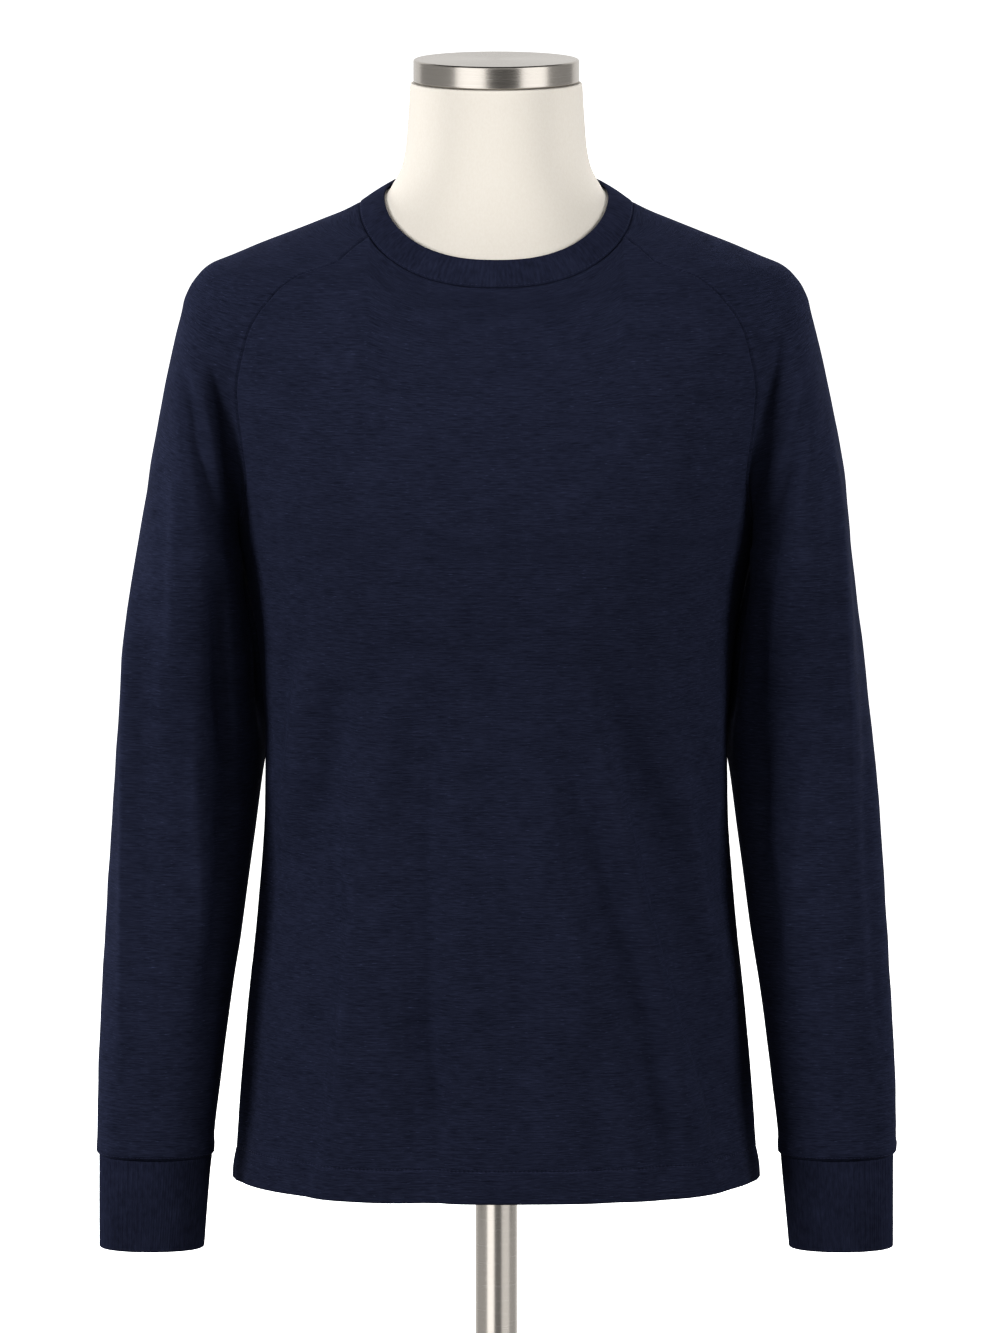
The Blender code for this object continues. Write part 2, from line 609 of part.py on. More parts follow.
def torso_rings():
    """The form's rings from its foot to the collar's seam, inside the cloth."""
    rings = []
    shares = {}
    for height in [FORM_BOTTOM + FORM_EDGE] + FORM_LEVELS:
        quarters = []
        for side in (FRONT, BACK):
            section = across_torso(height, 0.0, side, FORM_STEPS)[::-1]
            shares[side] = np.abs(section[:, 1]) / torso_depth(height, side)
            section = np.column_stack([section, np.full(FORM_STEPS + 1, float(height))])
            quarters.append(inside_cloth(section))
        rings.append(full_ring(*quarters))
    start = FORM_LEVELS[-1]
    angle = np.linspace(0, 90, FORM_STEPS + 1)
    for rise in SHOULDER_RISE:
        quarters = []
        for side in (FRONT, BACK):
            seam = oval(COLLAR_SEAM, side * angle)
            end = np.abs(seam[:, 1]) / torso_depth(seam[:, 2], side)
            height = start + (seam[:, 2] - start) * rise
            share = np.clip(shares[side] + (end - shares[side]) * rise, 0, 1)
            y = side * share * torso_depth(height, side)
            section = np.column_stack([torso_half_width(height, y), y, height])
            quarters.append(inside_cloth(section))
        rings.append(full_ring(*quarters))
    return rings


def neck_rings():
    """The form's rings from under the collar to the top of the neck."""
    angle = np.linspace(0, 360, 4 * FORM_STEPS + 1)[:-1]
    rings = []
    for share in (0.5, 1.0):
        points, facing = collar_surface(angle, share)
        rings.append(points - facing * (RIB + EASE_AT_COLLAR))
    turn = np.radians(angle)
    for row in NECK_ROWS:
        height, half_width, front, back = row
        depth = np.where(np.sin(turn) < 0, front, back)
        rings.append(np.stack([half_width * np.cos(turn), depth * np.sin(turn), 0 * turn + height], axis=1))
    under, neck = rings[1], rings[2]
    hollow = []
    for climb in NECK_CLIMB:
        inwards = 1 - (1 - climb) ** NECK_HOLLOW
        hollow.append(under + (neck - under) * (inwards, inwards, climb))
    return rings[:2] + hollow + rings[2:]


def make_form(finish):
    rings = torso_rings()
    foot = rings[0] * (1, 1, 0) + (0, 0, FORM_BOTTOM)
    foot[:, :2] *= 1 - FORM_EDGE / np.linalg.norm(foot[:, :2], axis=1, keepdims=True)
    turn = np.arctan2(foot[:, 1], foot[:, 0])
    socket = np.stack([np.cos(turn), np.sin(turn), 0 * turn], axis=1) * (POLE_RADIUS + SEAM)
    deep, mouth = socket + (0, 0, FORM_BOTTOM + POLE_SOCKET), socket + (0, 0, FORM_BOTTOM)
    return turned("form_torso", [deep, mouth, foot] + rings + neck_rings(), finish)


def make_stand(finish):
    neck_top = NECK_ROWS[-1][0]
    bottom, top = neck_top + SEAM, neck_top + SEAM + CAP_HEIGHT
    turned("neck_cap", [circle(CAP_RADIUS - CAP_CHAMFER, bottom), circle(CAP_RADIUS, bottom + CAP_CHAMFER),
                        circle(CAP_RADIUS, top - CAP_CHAMFER), circle(CAP_RADIUS - CAP_CHAMFER, top)],
           finish)
    floor = -HEM_ABOVE_FLOOR
    plate = floor + BASE_HEIGHT
    socket = POLE_RADIUS + SEAM
    turned("base_plate", [circle(socket, plate - BASE_SOCKET), circle(socket, plate),
                          circle(BASE_RADIUS - BASE_CHAMFER, plate),
                          circle(BASE_RADIUS, plate - BASE_CHAMFER),
                          circle(BASE_RADIUS, floor + BASE_CHAMFER),
                          circle(BASE_RADIUS - BASE_CHAMFER, floor)], finish)
    turned("pole", [circle(POLE_RADIUS, plate - BASE_SOCKET + SEAM),
                    circle(POLE_RADIUS, FORM_BOTTOM + POLE_SOCKET - SEAM)], finish)


def build():
    for old in list(bpy.data.objects):
        bpy.data.objects.remove(old)
    navy = material("navy_knit", colour(30, 34, 50), 0.92)
    navy_rib = material("navy_rib", colour(28, 31, 46), 0.92)
    cover = material("form_cover", colour(244, 238, 226), 0.75)
    steel = material("brushed_steel", colour(190, 188, 184), 0.35, 1.0)
    make_panel("front", FRONT, FRONT_FOLDS, navy)
    make_panel("back", BACK, BACK_FOLDS, navy)
    make_sleeve("sleeve_right", False, navy)
    make_sleeve("sleeve_left", True, navy)
    make_collar(navy_rib)
    make_cuff("cuff_right", False, navy_rib)
    make_cuff("cuff_left", True, navy_rib)
    make_form(cover)
    make_stand(steel)


build()
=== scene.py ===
"""The looks of a crew neck sweater with raglan sleeves, and of the dress form that it hangs on.

The cloth is made again here at a fine scale. Each piece follows the same sections as its solid in
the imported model, and gets its folds, seams, stitches and knit. The form and its stand are made
again with smooth faces. Lengths are in millimetres and heights are measured from the sweater's
hem; placed() turns points into metres above the floor.
"""

import math

import bpy
import numpy as np
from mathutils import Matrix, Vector, noise


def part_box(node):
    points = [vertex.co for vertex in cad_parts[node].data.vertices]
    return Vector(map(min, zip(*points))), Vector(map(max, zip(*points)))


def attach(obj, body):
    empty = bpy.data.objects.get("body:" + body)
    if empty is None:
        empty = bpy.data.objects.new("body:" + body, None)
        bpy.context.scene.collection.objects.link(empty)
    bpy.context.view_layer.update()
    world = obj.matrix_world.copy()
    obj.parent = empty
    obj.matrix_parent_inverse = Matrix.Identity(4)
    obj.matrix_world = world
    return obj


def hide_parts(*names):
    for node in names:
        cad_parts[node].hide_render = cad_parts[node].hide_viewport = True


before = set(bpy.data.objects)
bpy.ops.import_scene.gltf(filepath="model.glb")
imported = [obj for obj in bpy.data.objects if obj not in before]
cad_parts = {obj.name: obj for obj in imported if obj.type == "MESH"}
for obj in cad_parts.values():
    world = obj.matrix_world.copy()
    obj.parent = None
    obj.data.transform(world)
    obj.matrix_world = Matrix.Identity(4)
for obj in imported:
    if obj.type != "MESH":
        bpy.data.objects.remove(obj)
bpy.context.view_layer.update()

# ---------------------------------------------------------------- sizes shared with the solids
HEM_ABOVE_FLOOR = round(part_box("front")[0].z * 1000)
CLOTH = 1.8                 # how far the solids' cloth reaches in from its outer face
FRONT, BACK = -1, 1         # which way a panel faces along Y

TORSO_COLUMNS = "height half_width front back flatness roundness"
TORSO_ROWS = [
    (0, 178.3, 98, 104, 3.0, 1.67),
    (55, 174.8, 98.5, 103, 3.0, 1.67),
    (121, 169.0, 99, 101, 3.0, 1.67),
    (190, 161.8, 99.5, 98, 3.0, 1.67),
    (258, 157.1, 100, 96.5, 3.0, 1.67),
    (300, 156.6, 101.5, 96.5, 3.0, 1.67),
    (361, 160.5, 107, 100, 3.0, 1.67),
    (412, 168.5, 115.5, 106, 3.0, 1.67),
    (440, 175.0, 118.5, 109.5, 3.0, 1.67),
    (473, 181.0, 120, 112.5, 3.0, 1.67),
    (513, 190.0, 117, 112.5, 3.0, 1.67),
    (562, 203.0, 108, 107, 2.85, 1.69),
    (590, 208.3, 100, 103, 2.6, 1.73),
    (601, 208.8, 95, 101, 2.4, 1.76),
    (609.8, 206.7, 91.8, 99, 2.25, 1.79),
    (620.8, 200.4, 88.3, 96.5, 2.1, 1.85),
    (627, 193.2, 82.7, 95, 2.0, 1.89),
    (632, 180.9, 77.4, 93, 2.0, 1.93),
    (640.5, 160.5, 67.7, 90, 2.0, 2.0),
    (650.8, 133.3, 55.5, 86.5, 2.0, 2.0),
    (656.2, 119.7, 48.5, 84.5, 2.0, 2.0),
    (661.7, 106.0, 40.6, 82.5, 2.0, 2.0),
    (668, 92.6, 29, 80, 2.0, 2.0),
    (675, 79.0, 15, 77.3, 2.0, 2.0),
]
COLLAR_SEAM = dict(half_width=92.6, front=88.0, back=80.0, side_height=668.0, front_height=621.2,
                   back_height=668.5)
COLLAR_EDGE = dict(half_width=75.5, front=78.0, back=66.0, side_height=674.0, front_height=639.0,
                   back_height=686.0)
PLAN_POWER = {"front": 2.4, "back": 2.0}
FRONT_DIP = 1.38            # the power of the share of depth that the dip follows
BACK_RISE = 1.9             # how early a ring reaches its back height
COLLAR_CROWN = 1.3          # how far the middle of the band stands proud of its two edges

SEAM_COLUMNS = "height depth_share"
FRONT_SEAM_ROWS = [
    (440, 0.0), (448, 0.13), (462, 0.30), (491, 0.428), (519, 0.4615), (546.5, 0.509),
    (574.5, 0.592), (602, 0.658), (625, 0.713), (636.4, 0.785), (643, 0.776), (651, 0.7655),
]
BACK_SEAM_ROWS = [
    (440, 0.0), (448, 0.13), (462, 0.30), (491, 0.43), (519, 0.465), (546.5, 0.51),
    (574.5, 0.595), (602, 0.65), (625, 0.70), (643, 0.673), (656, 0.643), (668.3, 0.7075),
]
SEAM_ANGLES = {FRONT: 24.9, BACK: 45.0}     # where they meet the collar's ring

SLEEVE_COLUMNS = "height inner outer front back lag"
SLEEVE_ROWS = [
    (20.3, 192.7, 270.7, 42.5, 19.5, 0),
    (27, 191.9, 271.4, 43.8, 20.7, 0),
    (35, 191.4, 271.7, 44, 21.5, 0),
    (69, 187.3, 271.2, 45, 27, 0),
    (104, 182.9, 269.8, 46, 32, 0),
    (138, 178.2, 268.1, 47, 37, 1),
    (172, 172.7, 266.1, 47.5, 42, 3),
    (207, 168.0, 263.7, 48, 45.5, 7),
    (241, 163.2, 261.3, 48, 48.5, 12),
    (275, 158.6, 258.9, 49, 52, 18),
    (300, 154.5, 256.9, 51, 55, 22),
    (327, 152.0, 254.3, 54, 58.5, 23),
    (361, 152.5, 251.3, 59, 64, 18),
    (395, 157.0, 247.2, 64, 70, 9),
    (430, 163.5, 242.8, 68, 74, 2),
    (464, 167.5, 238.0, 69, 75, 0),
    (499, 168.5, 232.6, 67, 71, 0),
    (533, 168.0, 226.1, 62, 64, 0),
    (567, 166.0, 219.3, 57, 58, 0),
    (601, 162.0, 210.8, 50, 52, 0),
    (640, 160.0, 200.0, 45, 48, 0),
]
SLEEVE_SQUARENESS = 2.1
CUFF_ROWS = [
    (-44, 199.2, 270.0, 38, 13, 0),
    (-17, 196.9, 270.0, 39.8, 15.8, 0),
    (20, 193.5, 269.9, 41.3, 18.7, 0),
]
YOKE_COLUMNS = "front_height outer_height back_height hang reach bend"
YOKE_ROWS = [
    (440, 440, 440, 1.0, 180, 2.0),
    (451, 459, 451, 1.0, 170, 2.0),
    (465, 480, 465, 1.0, 160, 2.0),
    (484, 505, 484, 1.0, 148, 2.0),
    (506, 530, 506, 1.0, 136, 2.0),
    (530, 555, 530, 1.0, 124, 2.0),
    (556, 579, 556, 0.97, 112, 2.0),
    (581, 598, 581, 0.8, 102, 1.8),
    (601, 612, 604, 0.3, 94, 1.6),
    (616, 622, 622, 0.0, 90, 1.4),
    (627, 632, 636, 0.0, 90, 1.3),
    (636, 641, 648, 0.0, 90, 1.2),
    (643, 650.8, 657.5, 0.0, 90, 1.2),
    (647.6, 659.7, 664, 0.0, 90, 1.3),
    (651, 668, 668.3, 0.0, 90, 1.38),
]
SEAM_HOLD = 6.0             # how closely a row keeps to the shoulder near its seams
BODY_CLEARANCE = 2.0        # least distance from the hanging sleeve to the torso's cloth
CLEARANCE_ONSET = 3.0       # how softly the sleeve meets that distance
DIP_ONSET = 3.0             # how late the panels' rows dip like the neckline as they climb
EASE_COLUMNS = "height ease"
EASE_ROWS = [(38, 13), (190, 12), (300, 9), (400, 4), (480, 2.0), (560, 1.9), (610, 1.9), (640, 1.2),
             (669, 1.6)]

# The form inside the cloth, and its stand.
FORM_BOTTOM = 35.0
FORM_EDGE = 3.0             # chamfer round the foot of the torso
FORM_LEVELS = [38, 80, 150, 220, 290, 350, 400, 440, 480, 520, 555, 580, 596]
SHOULDER_CLIMB = [0.22, 0.40, 0.55, 0.68, 0.79, 0.89, 1.0]     # from the last level to the collar's seam
# The neck's rows: height, half width, depth in front and depth behind.
NECK_ROWS = [(693, 63.8, 62.3, 60.6), (706, 61.0, 60.6, 59.8), (724, 59.5, 59.2, 58.9),
             (747.5, 58.1, 58.1, 58.1)]
NECK_TOP = 750.0
NECK_EDGE = [(1.3, 0.997), (0.4, 0.991), (0, 0.981), (0, 0.974)]    # below the top, share of the radius
NECK_CLIMB = (0.35, 0.68)   # rows between the collar and the neck's own rows
NECK_HOLLOW = 1.15          # how quickly the neck closes in above the collar
FORM_INSIDE_COLLAR = 3.4    # from the collar's outer face to the form
CAP_RADIUS, CAP_BOTTOM, CAP_TOP = 55.9, 750.3, 765.9
POLE_RADIUS, POLE_TOP = 14.3, 94.7
SOCKET_RADIUS = 14.6
SOCKET_DEPTH = 60.0
BASE_RADIUS = 150.0
BASE_HEIGHT = 10.0
BASE_SOCKET = 6.0           # how far the pole goes down into the plate
POLE_END_GAP = 0.3
STAND_EDGE = 1.5            # radius of the cap's and the plate's edges

# ---------------------------------------------------------------- sizes of the looks
JERSEY = 1.2                # thickness of the jersey
RIB_CLOTH = 2.0             # thickness of the doubled rib
FORM_CLEARANCE = 0.5        # least distance from the folds to the form
SLEEVE_ROOM = 12.0          # how deep the folds of the hanging sleeve may get
HEM_FOLD = 22.5             # the hem is turned up this far
HEM_DOUBLING = 0.7          # how much thicker it is there
SEAM_CALM = 9.0             # folds die away over this distance from a seam
PUCKER = 0.14               # depth of the puckers beside a seam
TUCK = 0.9                  # how far a sewn edge's inner face is turned in
RIB_TUCK = 0.4
RIB_PITCH = 1.75
RIB_DEPTH = 0.16
POINTS_PER_RIB = 4
STITCH_OFFSET = 1.9         # from a seam to its stitches

SPACING = 4.0               # between the fine grids' rows
NEAR_EDGE = (0.35, 0.8, 1.4, 2.2, 3.1)      # extra rows and columns this far from an edge
YOKE_STEPS = 7              # fine rows for each row of the yoke's table
PANEL_COLUMNS = 58          # fine columns in half a panel
SLEEVE_COLUMNS_ROUND = 156
CUFF_LEVELS, COLLAR_LEVELS = 14, 10
SECTION_STEPS = 180         # points in half of a sleeve's section before it is spaced evenly
TORSO_STEPS = 400           # and in a quarter of the torso's
FORM_COLUMNS = 36           # points in a quarter of the form's rings
FORM_ROWS = 4               # fine rows for each of the form's levels
TURNED_STEPS = 144          # points round the cap, the pole and the plate
MIRROR = (-1, 1, 1)


# ---------------------------------------------------------------- curves and sections
def smooth_through(places, values, at):
    """A curve through the values that doesn't overshoot between them (monotone cubic)."""
    steps = np.diff(places)
    rates = np.diff(values) / steps
    slopes = np.concatenate([rates[:1], np.zeros(len(rates) - 1), rates[-1:]])
    for i in range(1, len(rates)):
        if rates[i - 1] * rates[i] > 0:
            slopes[i] = 2 * rates[i - 1] * rates[i] / (rates[i - 1] + rates[i])
    at = np.clip(at, places[0], places[-1])
    i = np.clip(np.searchsorted(places, at) - 1, 0, len(steps) - 1)
    t = (at - places[i]) / steps[i]
    return (values[i] * (1 + 2 * t) * (1 - t) ** 2 + values[i + 1] * t * t * (3 - 2 * t)
            + steps[i] * (slopes[i] * t * (1 - t) ** 2 - slopes[i + 1] * t * t * (1 - t)))


class Profile:
    """A table by height whose other columns are read as smooth curves."""

    def __init__(self, columns, rows):
        self.rows = np.array(rows, float)
        self.at = {name: self.rows[:, i] for i, name in enumerate(columns.split())}

    def __call__(self, name, height):
        return smooth_through(self.at["height"], self.at[name], np.asarray(height, float))


TORSO = Profile(TORSO_COLUMNS, TORSO_ROWS)
SLEEVE = Profile(SLEEVE_COLUMNS, SLEEVE_ROWS)
CUFF = Profile(SLEEVE_COLUMNS, CUFF_ROWS)
EASE = Profile(EASE_COLUMNS, EASE_ROWS)
SEAMS = {FRONT: Profile(SEAM_COLUMNS, FRONT_SEAM_ROWS), BACK: Profile(SEAM_COLUMNS, BACK_SEAM_ROWS)}
YOKE = {name: np.array(column, float) for name, column in zip(YOKE_COLUMNS.split(), zip(*YOKE_ROWS))}
SEAM_HEIGHT = {FRONT: "front_height", BACK: "back_height"}


def yoke(name, place):
    """The yoke's table between its rows: place 0 is the underarm's row and the last is the collar's."""
    return smooth_through(np.arange(len(YOKE_ROWS), dtype=float), YOKE[name], np.asarray(place, float))


def unit(vectors):
    return vectors / np.maximum(np.linalg.norm(vectors, axis=-1, keepdims=True), 1e-9)


def smooth_step(t):
    t = np.clip(t, 0, 1)
    return t * t * (3 - 2 * t)


def bell(distance, width, centre=0, depth=1):
    """A bump this deep at the centre, which falls away to both sides over this width."""
    return depth * np.exp(-(((distance - centre) / width) ** 2))


def nearest(values, wanted):
    return int(np.argmin(np.abs(values - wanted)))


def whole(half):
    """Rows of the right half, from the centre line outwards, with the mirrored left half before them."""
    return np.concatenate([half[:, :0:-1] * MIRROR, half], axis=1)


def level_ring(across, along, height):
    """Points at one height, or at each point's own."""
    return np.stack([across, along, 0 * across + height], axis=1)


def lengths_along(points):
    """How far along the polyline each of its points is."""
    return np.concatenate([[0], np.cumsum(np.linalg.norm(np.diff(points, axis=0), axis=1))])


def spaced(points, shares):
    """The polyline through the points, read at these shares of its length."""
    lengths = lengths_along(points)
    return np.stack([np.interp(shares * lengths[-1], lengths, column) for column in points.T], axis=1)


def crowded(places, ends, length=1.0):
    """The places, with more of them close to the given ones. One unit of place measures length."""
    extra = [end + way * gap / length for end in ends for gap in NEAR_EDGE for way in (-1, 1)]
    extra = [place for place in extra if places[0] < place < places[-1]]
    clear = [place for place in places
             if place in ends or min([abs(place - other) * length for other in extra]) > 0.5]
    return np.unique(np.array(clear + extra + list(ends)))


def torso_depth(height, side):
    return TORSO("front" if side == FRONT else "back", height)


def torso_half_width(height, y):
    """Half the torso's width at this height, measured where it is y deep."""
    side_depth = np.where(np.asarray(y) < 0, TORSO("front", height), TORSO("back", height))
    share = np.clip(np.abs(y) / side_depth, 0, 1)
    inside = 1 - share ** TORSO("roundness", height)
    return TORSO("half_width", height) * inside ** (1 / TORSO("flatness", height))


def torso_surface(height, x, side):
    """The point of the torso's cloth at this height and x."""
    share = np.clip(np.abs(x) / TORSO("half_width", height), 0, 1)
    inside = 1 - share ** TORSO("flatness", height)
    y = side * torso_depth(height, side) * inside ** (1 / TORSO("roundness", height))
    return np.stack(np.broadcast_arrays(x, y, height), axis=-1).astype(float)


def across_torso(height, end_share, side, shares):
    """Points of the torso's section, from the centre line to where it is end_share as deep."""
    turn = math.acos(end_share ** (TORSO("roundness", height) / 2)) * np.linspace(0, 1, TORSO_STEPS) ** 1.5
    x = TORSO("half_width", height) * np.sin(turn) ** (2 / TORSO("flatness", height))
    y = side * torso_depth(height, side) * np.cos(turn) ** (2 / TORSO("roundness", height))
    return spaced(np.stack([x, y], axis=1), shares)


def oval(ring, angle):
    """Points of one of the collar's rings. The angle is 0 at the right and 90 at the back."""
    across, along = np.cos(np.radians(angle)), np.sin(np.radians(angle))
    at_front = along < 0
    power = 2 / np.where(at_front, PLAN_POWER["front"], PLAN_POWER["back"])
    share = np.abs(along) ** power
    depth = np.where(at_front, -ring["front"], ring["back"])
    dip = (ring["front_height"] - ring["side_height"]) * share ** FRONT_DIP
    rise = (ring["back_height"] - ring["side_height"]) * (1 - (1 - share) ** BACK_RISE)
    return np.stack([ring["half_width"] * np.sign(across) * np.abs(across) ** power, depth * share,
                     ring["side_height"] + np.where(at_front, dip, rise)], axis=-1)


def neck_angles(start, end, shares):
    """Angles whose points lie at these shares of the way along the collar's seam."""
    angle = np.linspace(start, end, 2 * 360 + 1)
    lengths = lengths_along(oval(COLLAR_SEAM, angle))
    return np.interp(shares * lengths[-1], lengths, angle)


def collar_surface(angle, share):
    """Points of the collar's outer face at a share of its width, and which way it faces there."""
    def point(angle, share):
        low, high = oval(COLLAR_SEAM, angle), oval(COLLAR_EDGE, angle)
        turn = np.radians(angle)
        around = np.stack([-np.sin(turn), np.cos(turn), 0 * turn], axis=-1)
        proud = unit(np.cross(around, high - low))
        return low + (high - low) * share + proud * COLLAR_CROWN * 4 * share * (1 - share)
    around = point(angle + 0.5, share) - point(angle - 0.5, share)
    upwards = point(angle, share + 0.01) - point(angle, share - 0.01)
    return point(angle, share), unit(np.cross(around, upwards))


def facing_at_collar(points):
    """Which way the cloth faces along the collar's seam."""
    ring = COLLAR_SEAM
    depth = np.where(points[:, 1] < 0, ring["front"], ring["back"])
    power = np.where(points[:, 1] < 0, PLAN_POWER["front"], PLAN_POWER["back"]) / 2
    angle = np.degrees(np.arctan2(np.sign(points[:, 1]) * np.abs(points[:, 1] / depth) ** power,
                                  np.sign(points[:, 0]) * np.abs(points[:, 0] / ring["half_width"]) ** power))
    return collar_surface(angle, 0.0)[1]


def seam_line(side, places):
    """The raglan seam's points at these places of the yoke."""
    heights = yoke(SEAM_HEIGHT[side], places)
    y = side * SEAMS[side]("depth_share", heights) * torso_depth(heights, side)
    points = np.stack([torso_half_width(heights, y), y, heights], axis=1)
    top = oval(COLLAR_SEAM, side * SEAM_ANGLES[side])
    return points + (top - points[-1]) * smooth_step(places - places[-1] + 1)[:, None]


def sleeve_section(profile, height, share, reach=180.0):
    """Points of the sleeve's level section at shares -1 (back) to 1 (front) of its reach."""
    inner, outer = profile("inner", height), profile("outer", height)
    front, back = profile("front", height), profile("back", height)
    turn = np.radians(np.linspace(-reach, reach, 2 * SECTION_STEPS + 1))
    power = 2 / SLEEVE_SQUARENESS
    x = (np.sign(np.cos(turn)) * np.abs(np.cos(turn)) ** power * (outer - inner) + outer + inner) / 2
    y = (-np.sign(np.sin(turn)) * np.abs(np.sin(turn)) ** power * (front + back) + back - front) / 2
    y += profile("lag", height) * (1 - np.cos(turn)) / 2
    dense = np.stack([x, y], axis=1)
    shares = np.linspace(0, 1, SECTION_STEPS + 1)
    even = np.concatenate([spaced(dense[SECTION_STEPS::-1], shares)[:0:-1],
                           spaced(dense[SECTION_STEPS:], shares)])
    at = np.linspace(-1, 1, len(even))
    return np.stack([np.interp(share, at, column) for column in even.T], axis=1)


def clear_of_body(points, clearance):
    """Moves the points outwards until they are that far from the torso's cloth."""
    least = torso_half_width(points[:, 2], points[:, 1]) + clearance
    x = points[:, 0]
    pushed = (x + least + np.hypot(x - least, CLEARANCE_ONSET * clearance / BODY_CLEARANCE)) / 2
    points[:, 0] = np.where(clearance > 0, pushed, x)
    return points


# ---------------------------------------------------------------- fine grids
UNDERARM = YOKE_ROWS[0][0]
LAST_PLACE = len(YOKE_ROWS) - 1
YOKE_PLACES = crowded(np.linspace(0, LAST_PLACE, LAST_PLACE * YOKE_STEPS + 1), [LAST_PLACE], length=4.5)
PANEL_HEIGHTS = crowded(np.linspace(0, UNDERARM, int(UNDERARM / SPACING) + 1), [0, HEM_FOLD])[:-1]
PANEL_SHARES = crowded(np.linspace(0, 1, PANEL_COLUMNS + 1), [1], length=200)
SLEEVE_FOOT = 19.9          # the sleeve's edge is tucked into the cuff's seam
SLEEVE_HEIGHTS = crowded(np.linspace(SLEEVE_FOOT, UNDERARM, int(UNDERARM / SPACING) + 1), [SLEEVE_FOOT])[:-1]
SLEEVE_SHARES = -crowded(np.linspace(-1, 1, SLEEVE_COLUMNS_ROUND + 1), [-1, 1], length=130)


def half_panel(side):
    """The right half of the front or the back: rows of points from the centre line outwards."""
    rows = []
    for height in PANEL_HEIGHTS:
        rows.append(level_ring(*across_torso(height, 0.0, side, PANEL_SHARES).T, height))
    edge = seam_line(side, YOKE_PLACES)
    top = oval(COLLAR_SEAM, neck_angles(side * 90, side * SEAM_ANGLES[side], PANEL_SHARES))
    heights = yoke(SEAM_HEIGHT[side], YOKE_PLACES)
    low, high = heights[0], heights[-1]

    def level(height):
        x = across_torso(height, SEAMS[side]("depth_share", height), side, PANEL_SHARES)[:, 0]
        dip = np.interp(x, top[:, 0], top[:, 2]) - top[-1, 2]
        return torso_surface(height + dip * ((height - low) / (high - low)) ** DIP_ONSET, x, side)

    to_collar = top - level(high)
    for place, height, end in zip(YOKE_PLACES, heights, edge):
        points = level(height) + to_collar * smooth_step(place - LAST_PLACE + 1)
        rows.append(points + (end - points[-1]) * (PANEL_SHARES ** 8)[:, None])
    return np.array(rows)


def sleeve_grid():
    """The right sleeve's points, from the cuff up: columns from the front seam to the back."""
    share = SLEEVE_SHARES
    away = np.abs(share)
    rows = []
    for height in SLEEVE_HEIGHTS:
        ring = level_ring(*sleeve_section(SLEEVE, height, share).T, height)
        rows.append(clear_of_body(ring, np.full(len(share), BODY_CLEARANCE)))
    seams = [seam_line(side, YOKE_PLACES) for side in (FRONT, BACK)]
    ends = np.where(share > 0, 0, 1)
    collar = oval(COLLAR_SEAM, np.where(share > 0, -SEAM_ANGLES[FRONT], SEAM_ANGLES[BACK]) * away)

    def on_shoulder(row, edge):
        y = edge[:, 1] * away
        outer_height = yoke("outer_height", YOKE_PLACES[row])
        height = outer_height + (edge[:, 2] - outer_height) * away ** yoke("bend", YOKE_PLACES[row])
        return np.column_stack([torso_half_width(height, y), y, height])

    to_collar = collar - on_shoulder(-1, np.array([line[-1] for line in seams])[ends])
    for row, place in enumerate(YOKE_PLACES):
        edge = np.array([line[row] for line in seams])[ends]
        shoulder = on_shoulder(row, edge) + to_collar * smooth_step(place - LAST_PLACE + 1)
        hang = yoke("hang", place)
        points = shoulder
        if hang > 0:
            section = [sleeve_section(SLEEVE, level, at, yoke("reach", place))[0]
                       for level, at in zip(shoulder[:, 2], share[:, None])]
            hanging = np.column_stack([np.array(section), shoulder[:, 2]])
            points = shoulder + (hanging - shoulder) * hang * (1 - away ** SEAM_HOLD)[:, None]
            points = clear_of_body(points, BODY_CLEARANCE * hang * np.minimum(1, 4 * (1 - away)))
        points[[0, -1]] = edge[[0, -1]]
        rows.append(points)
    return np.array(rows)


def facing_of(grid, closed_rows=0):
    """Which way each point of a grid faces, from its neighbours. Rows go up, columns to the right."""
    along = np.gradient(grid, axis=1)
    up = np.gradient(grid, axis=0)
    for part in (along, up):
        part[:closed_rows, [0, -1]] = part[:closed_rows, [0, -1]].mean(axis=1, keepdims=True)
    return unit(np.cross(along, up))


def distance_along(grid, axis):
    """How far each point is from the start of its row (axis 1) or column (axis 0)."""
    steps = np.linalg.norm(np.diff(grid, axis=axis), axis=-1)
    return np.concatenate([np.zeros_like(steps.take([0], axis)), np.cumsum(steps, axis=axis)], axis=axis)


def from_ends(grid, axis):
    """How far each point is from the first and from the last end of its row or column."""
    start = distance_along(grid, axis)
    return start, start.take([-1], axis) - start


# ---------------------------------------------------------------- folds and seams
FADE_IN, FADE_OUT = 0.3, 0.35       # shares of its line over which a fold fades, at its top and its foot
FADE_LEFT = 0.1             # so that a little of its depth is left at its line's very ends
SEED_SHIFT = 17.3           # from one seed's noise to the next
EDGE_TURN = 0.97            # below 1, so that a folded edge keeps a narrow flat rim


def along_line(line, across, height):
    """Distance of each point from the polyline, positive to its right going down, and the share along."""
    line = np.array(line, float)
    steps = np.diff(line, axis=0)
    lengths = np.linalg.norm(steps, axis=1)
    starts = np.concatenate([[0], np.cumsum(lengths)])
    best = np.full(across.shape, np.inf)
    signed, share = np.zeros(across.shape), np.zeros(across.shape)
    for (x, z), (dx, dz), length, start in zip(line, steps, lengths, starts):
        t = ((across - x) * dx + (height - z) * dz) / length ** 2
        inside = np.clip(t, 0, 1)
        off_x, off_z = across - x - inside * dx, height - z - inside * dz
        distance = np.hypot(off_x, off_z)
        side = np.sign(off_z * dx - off_x * dz)
        nearer = distance < best
        best = np.where(nearer, distance, best)
        signed = np.where(nearer, distance * side, signed)
        share = np.where(nearer, (start + inside * length) / starts[-1], share)
    return signed, share


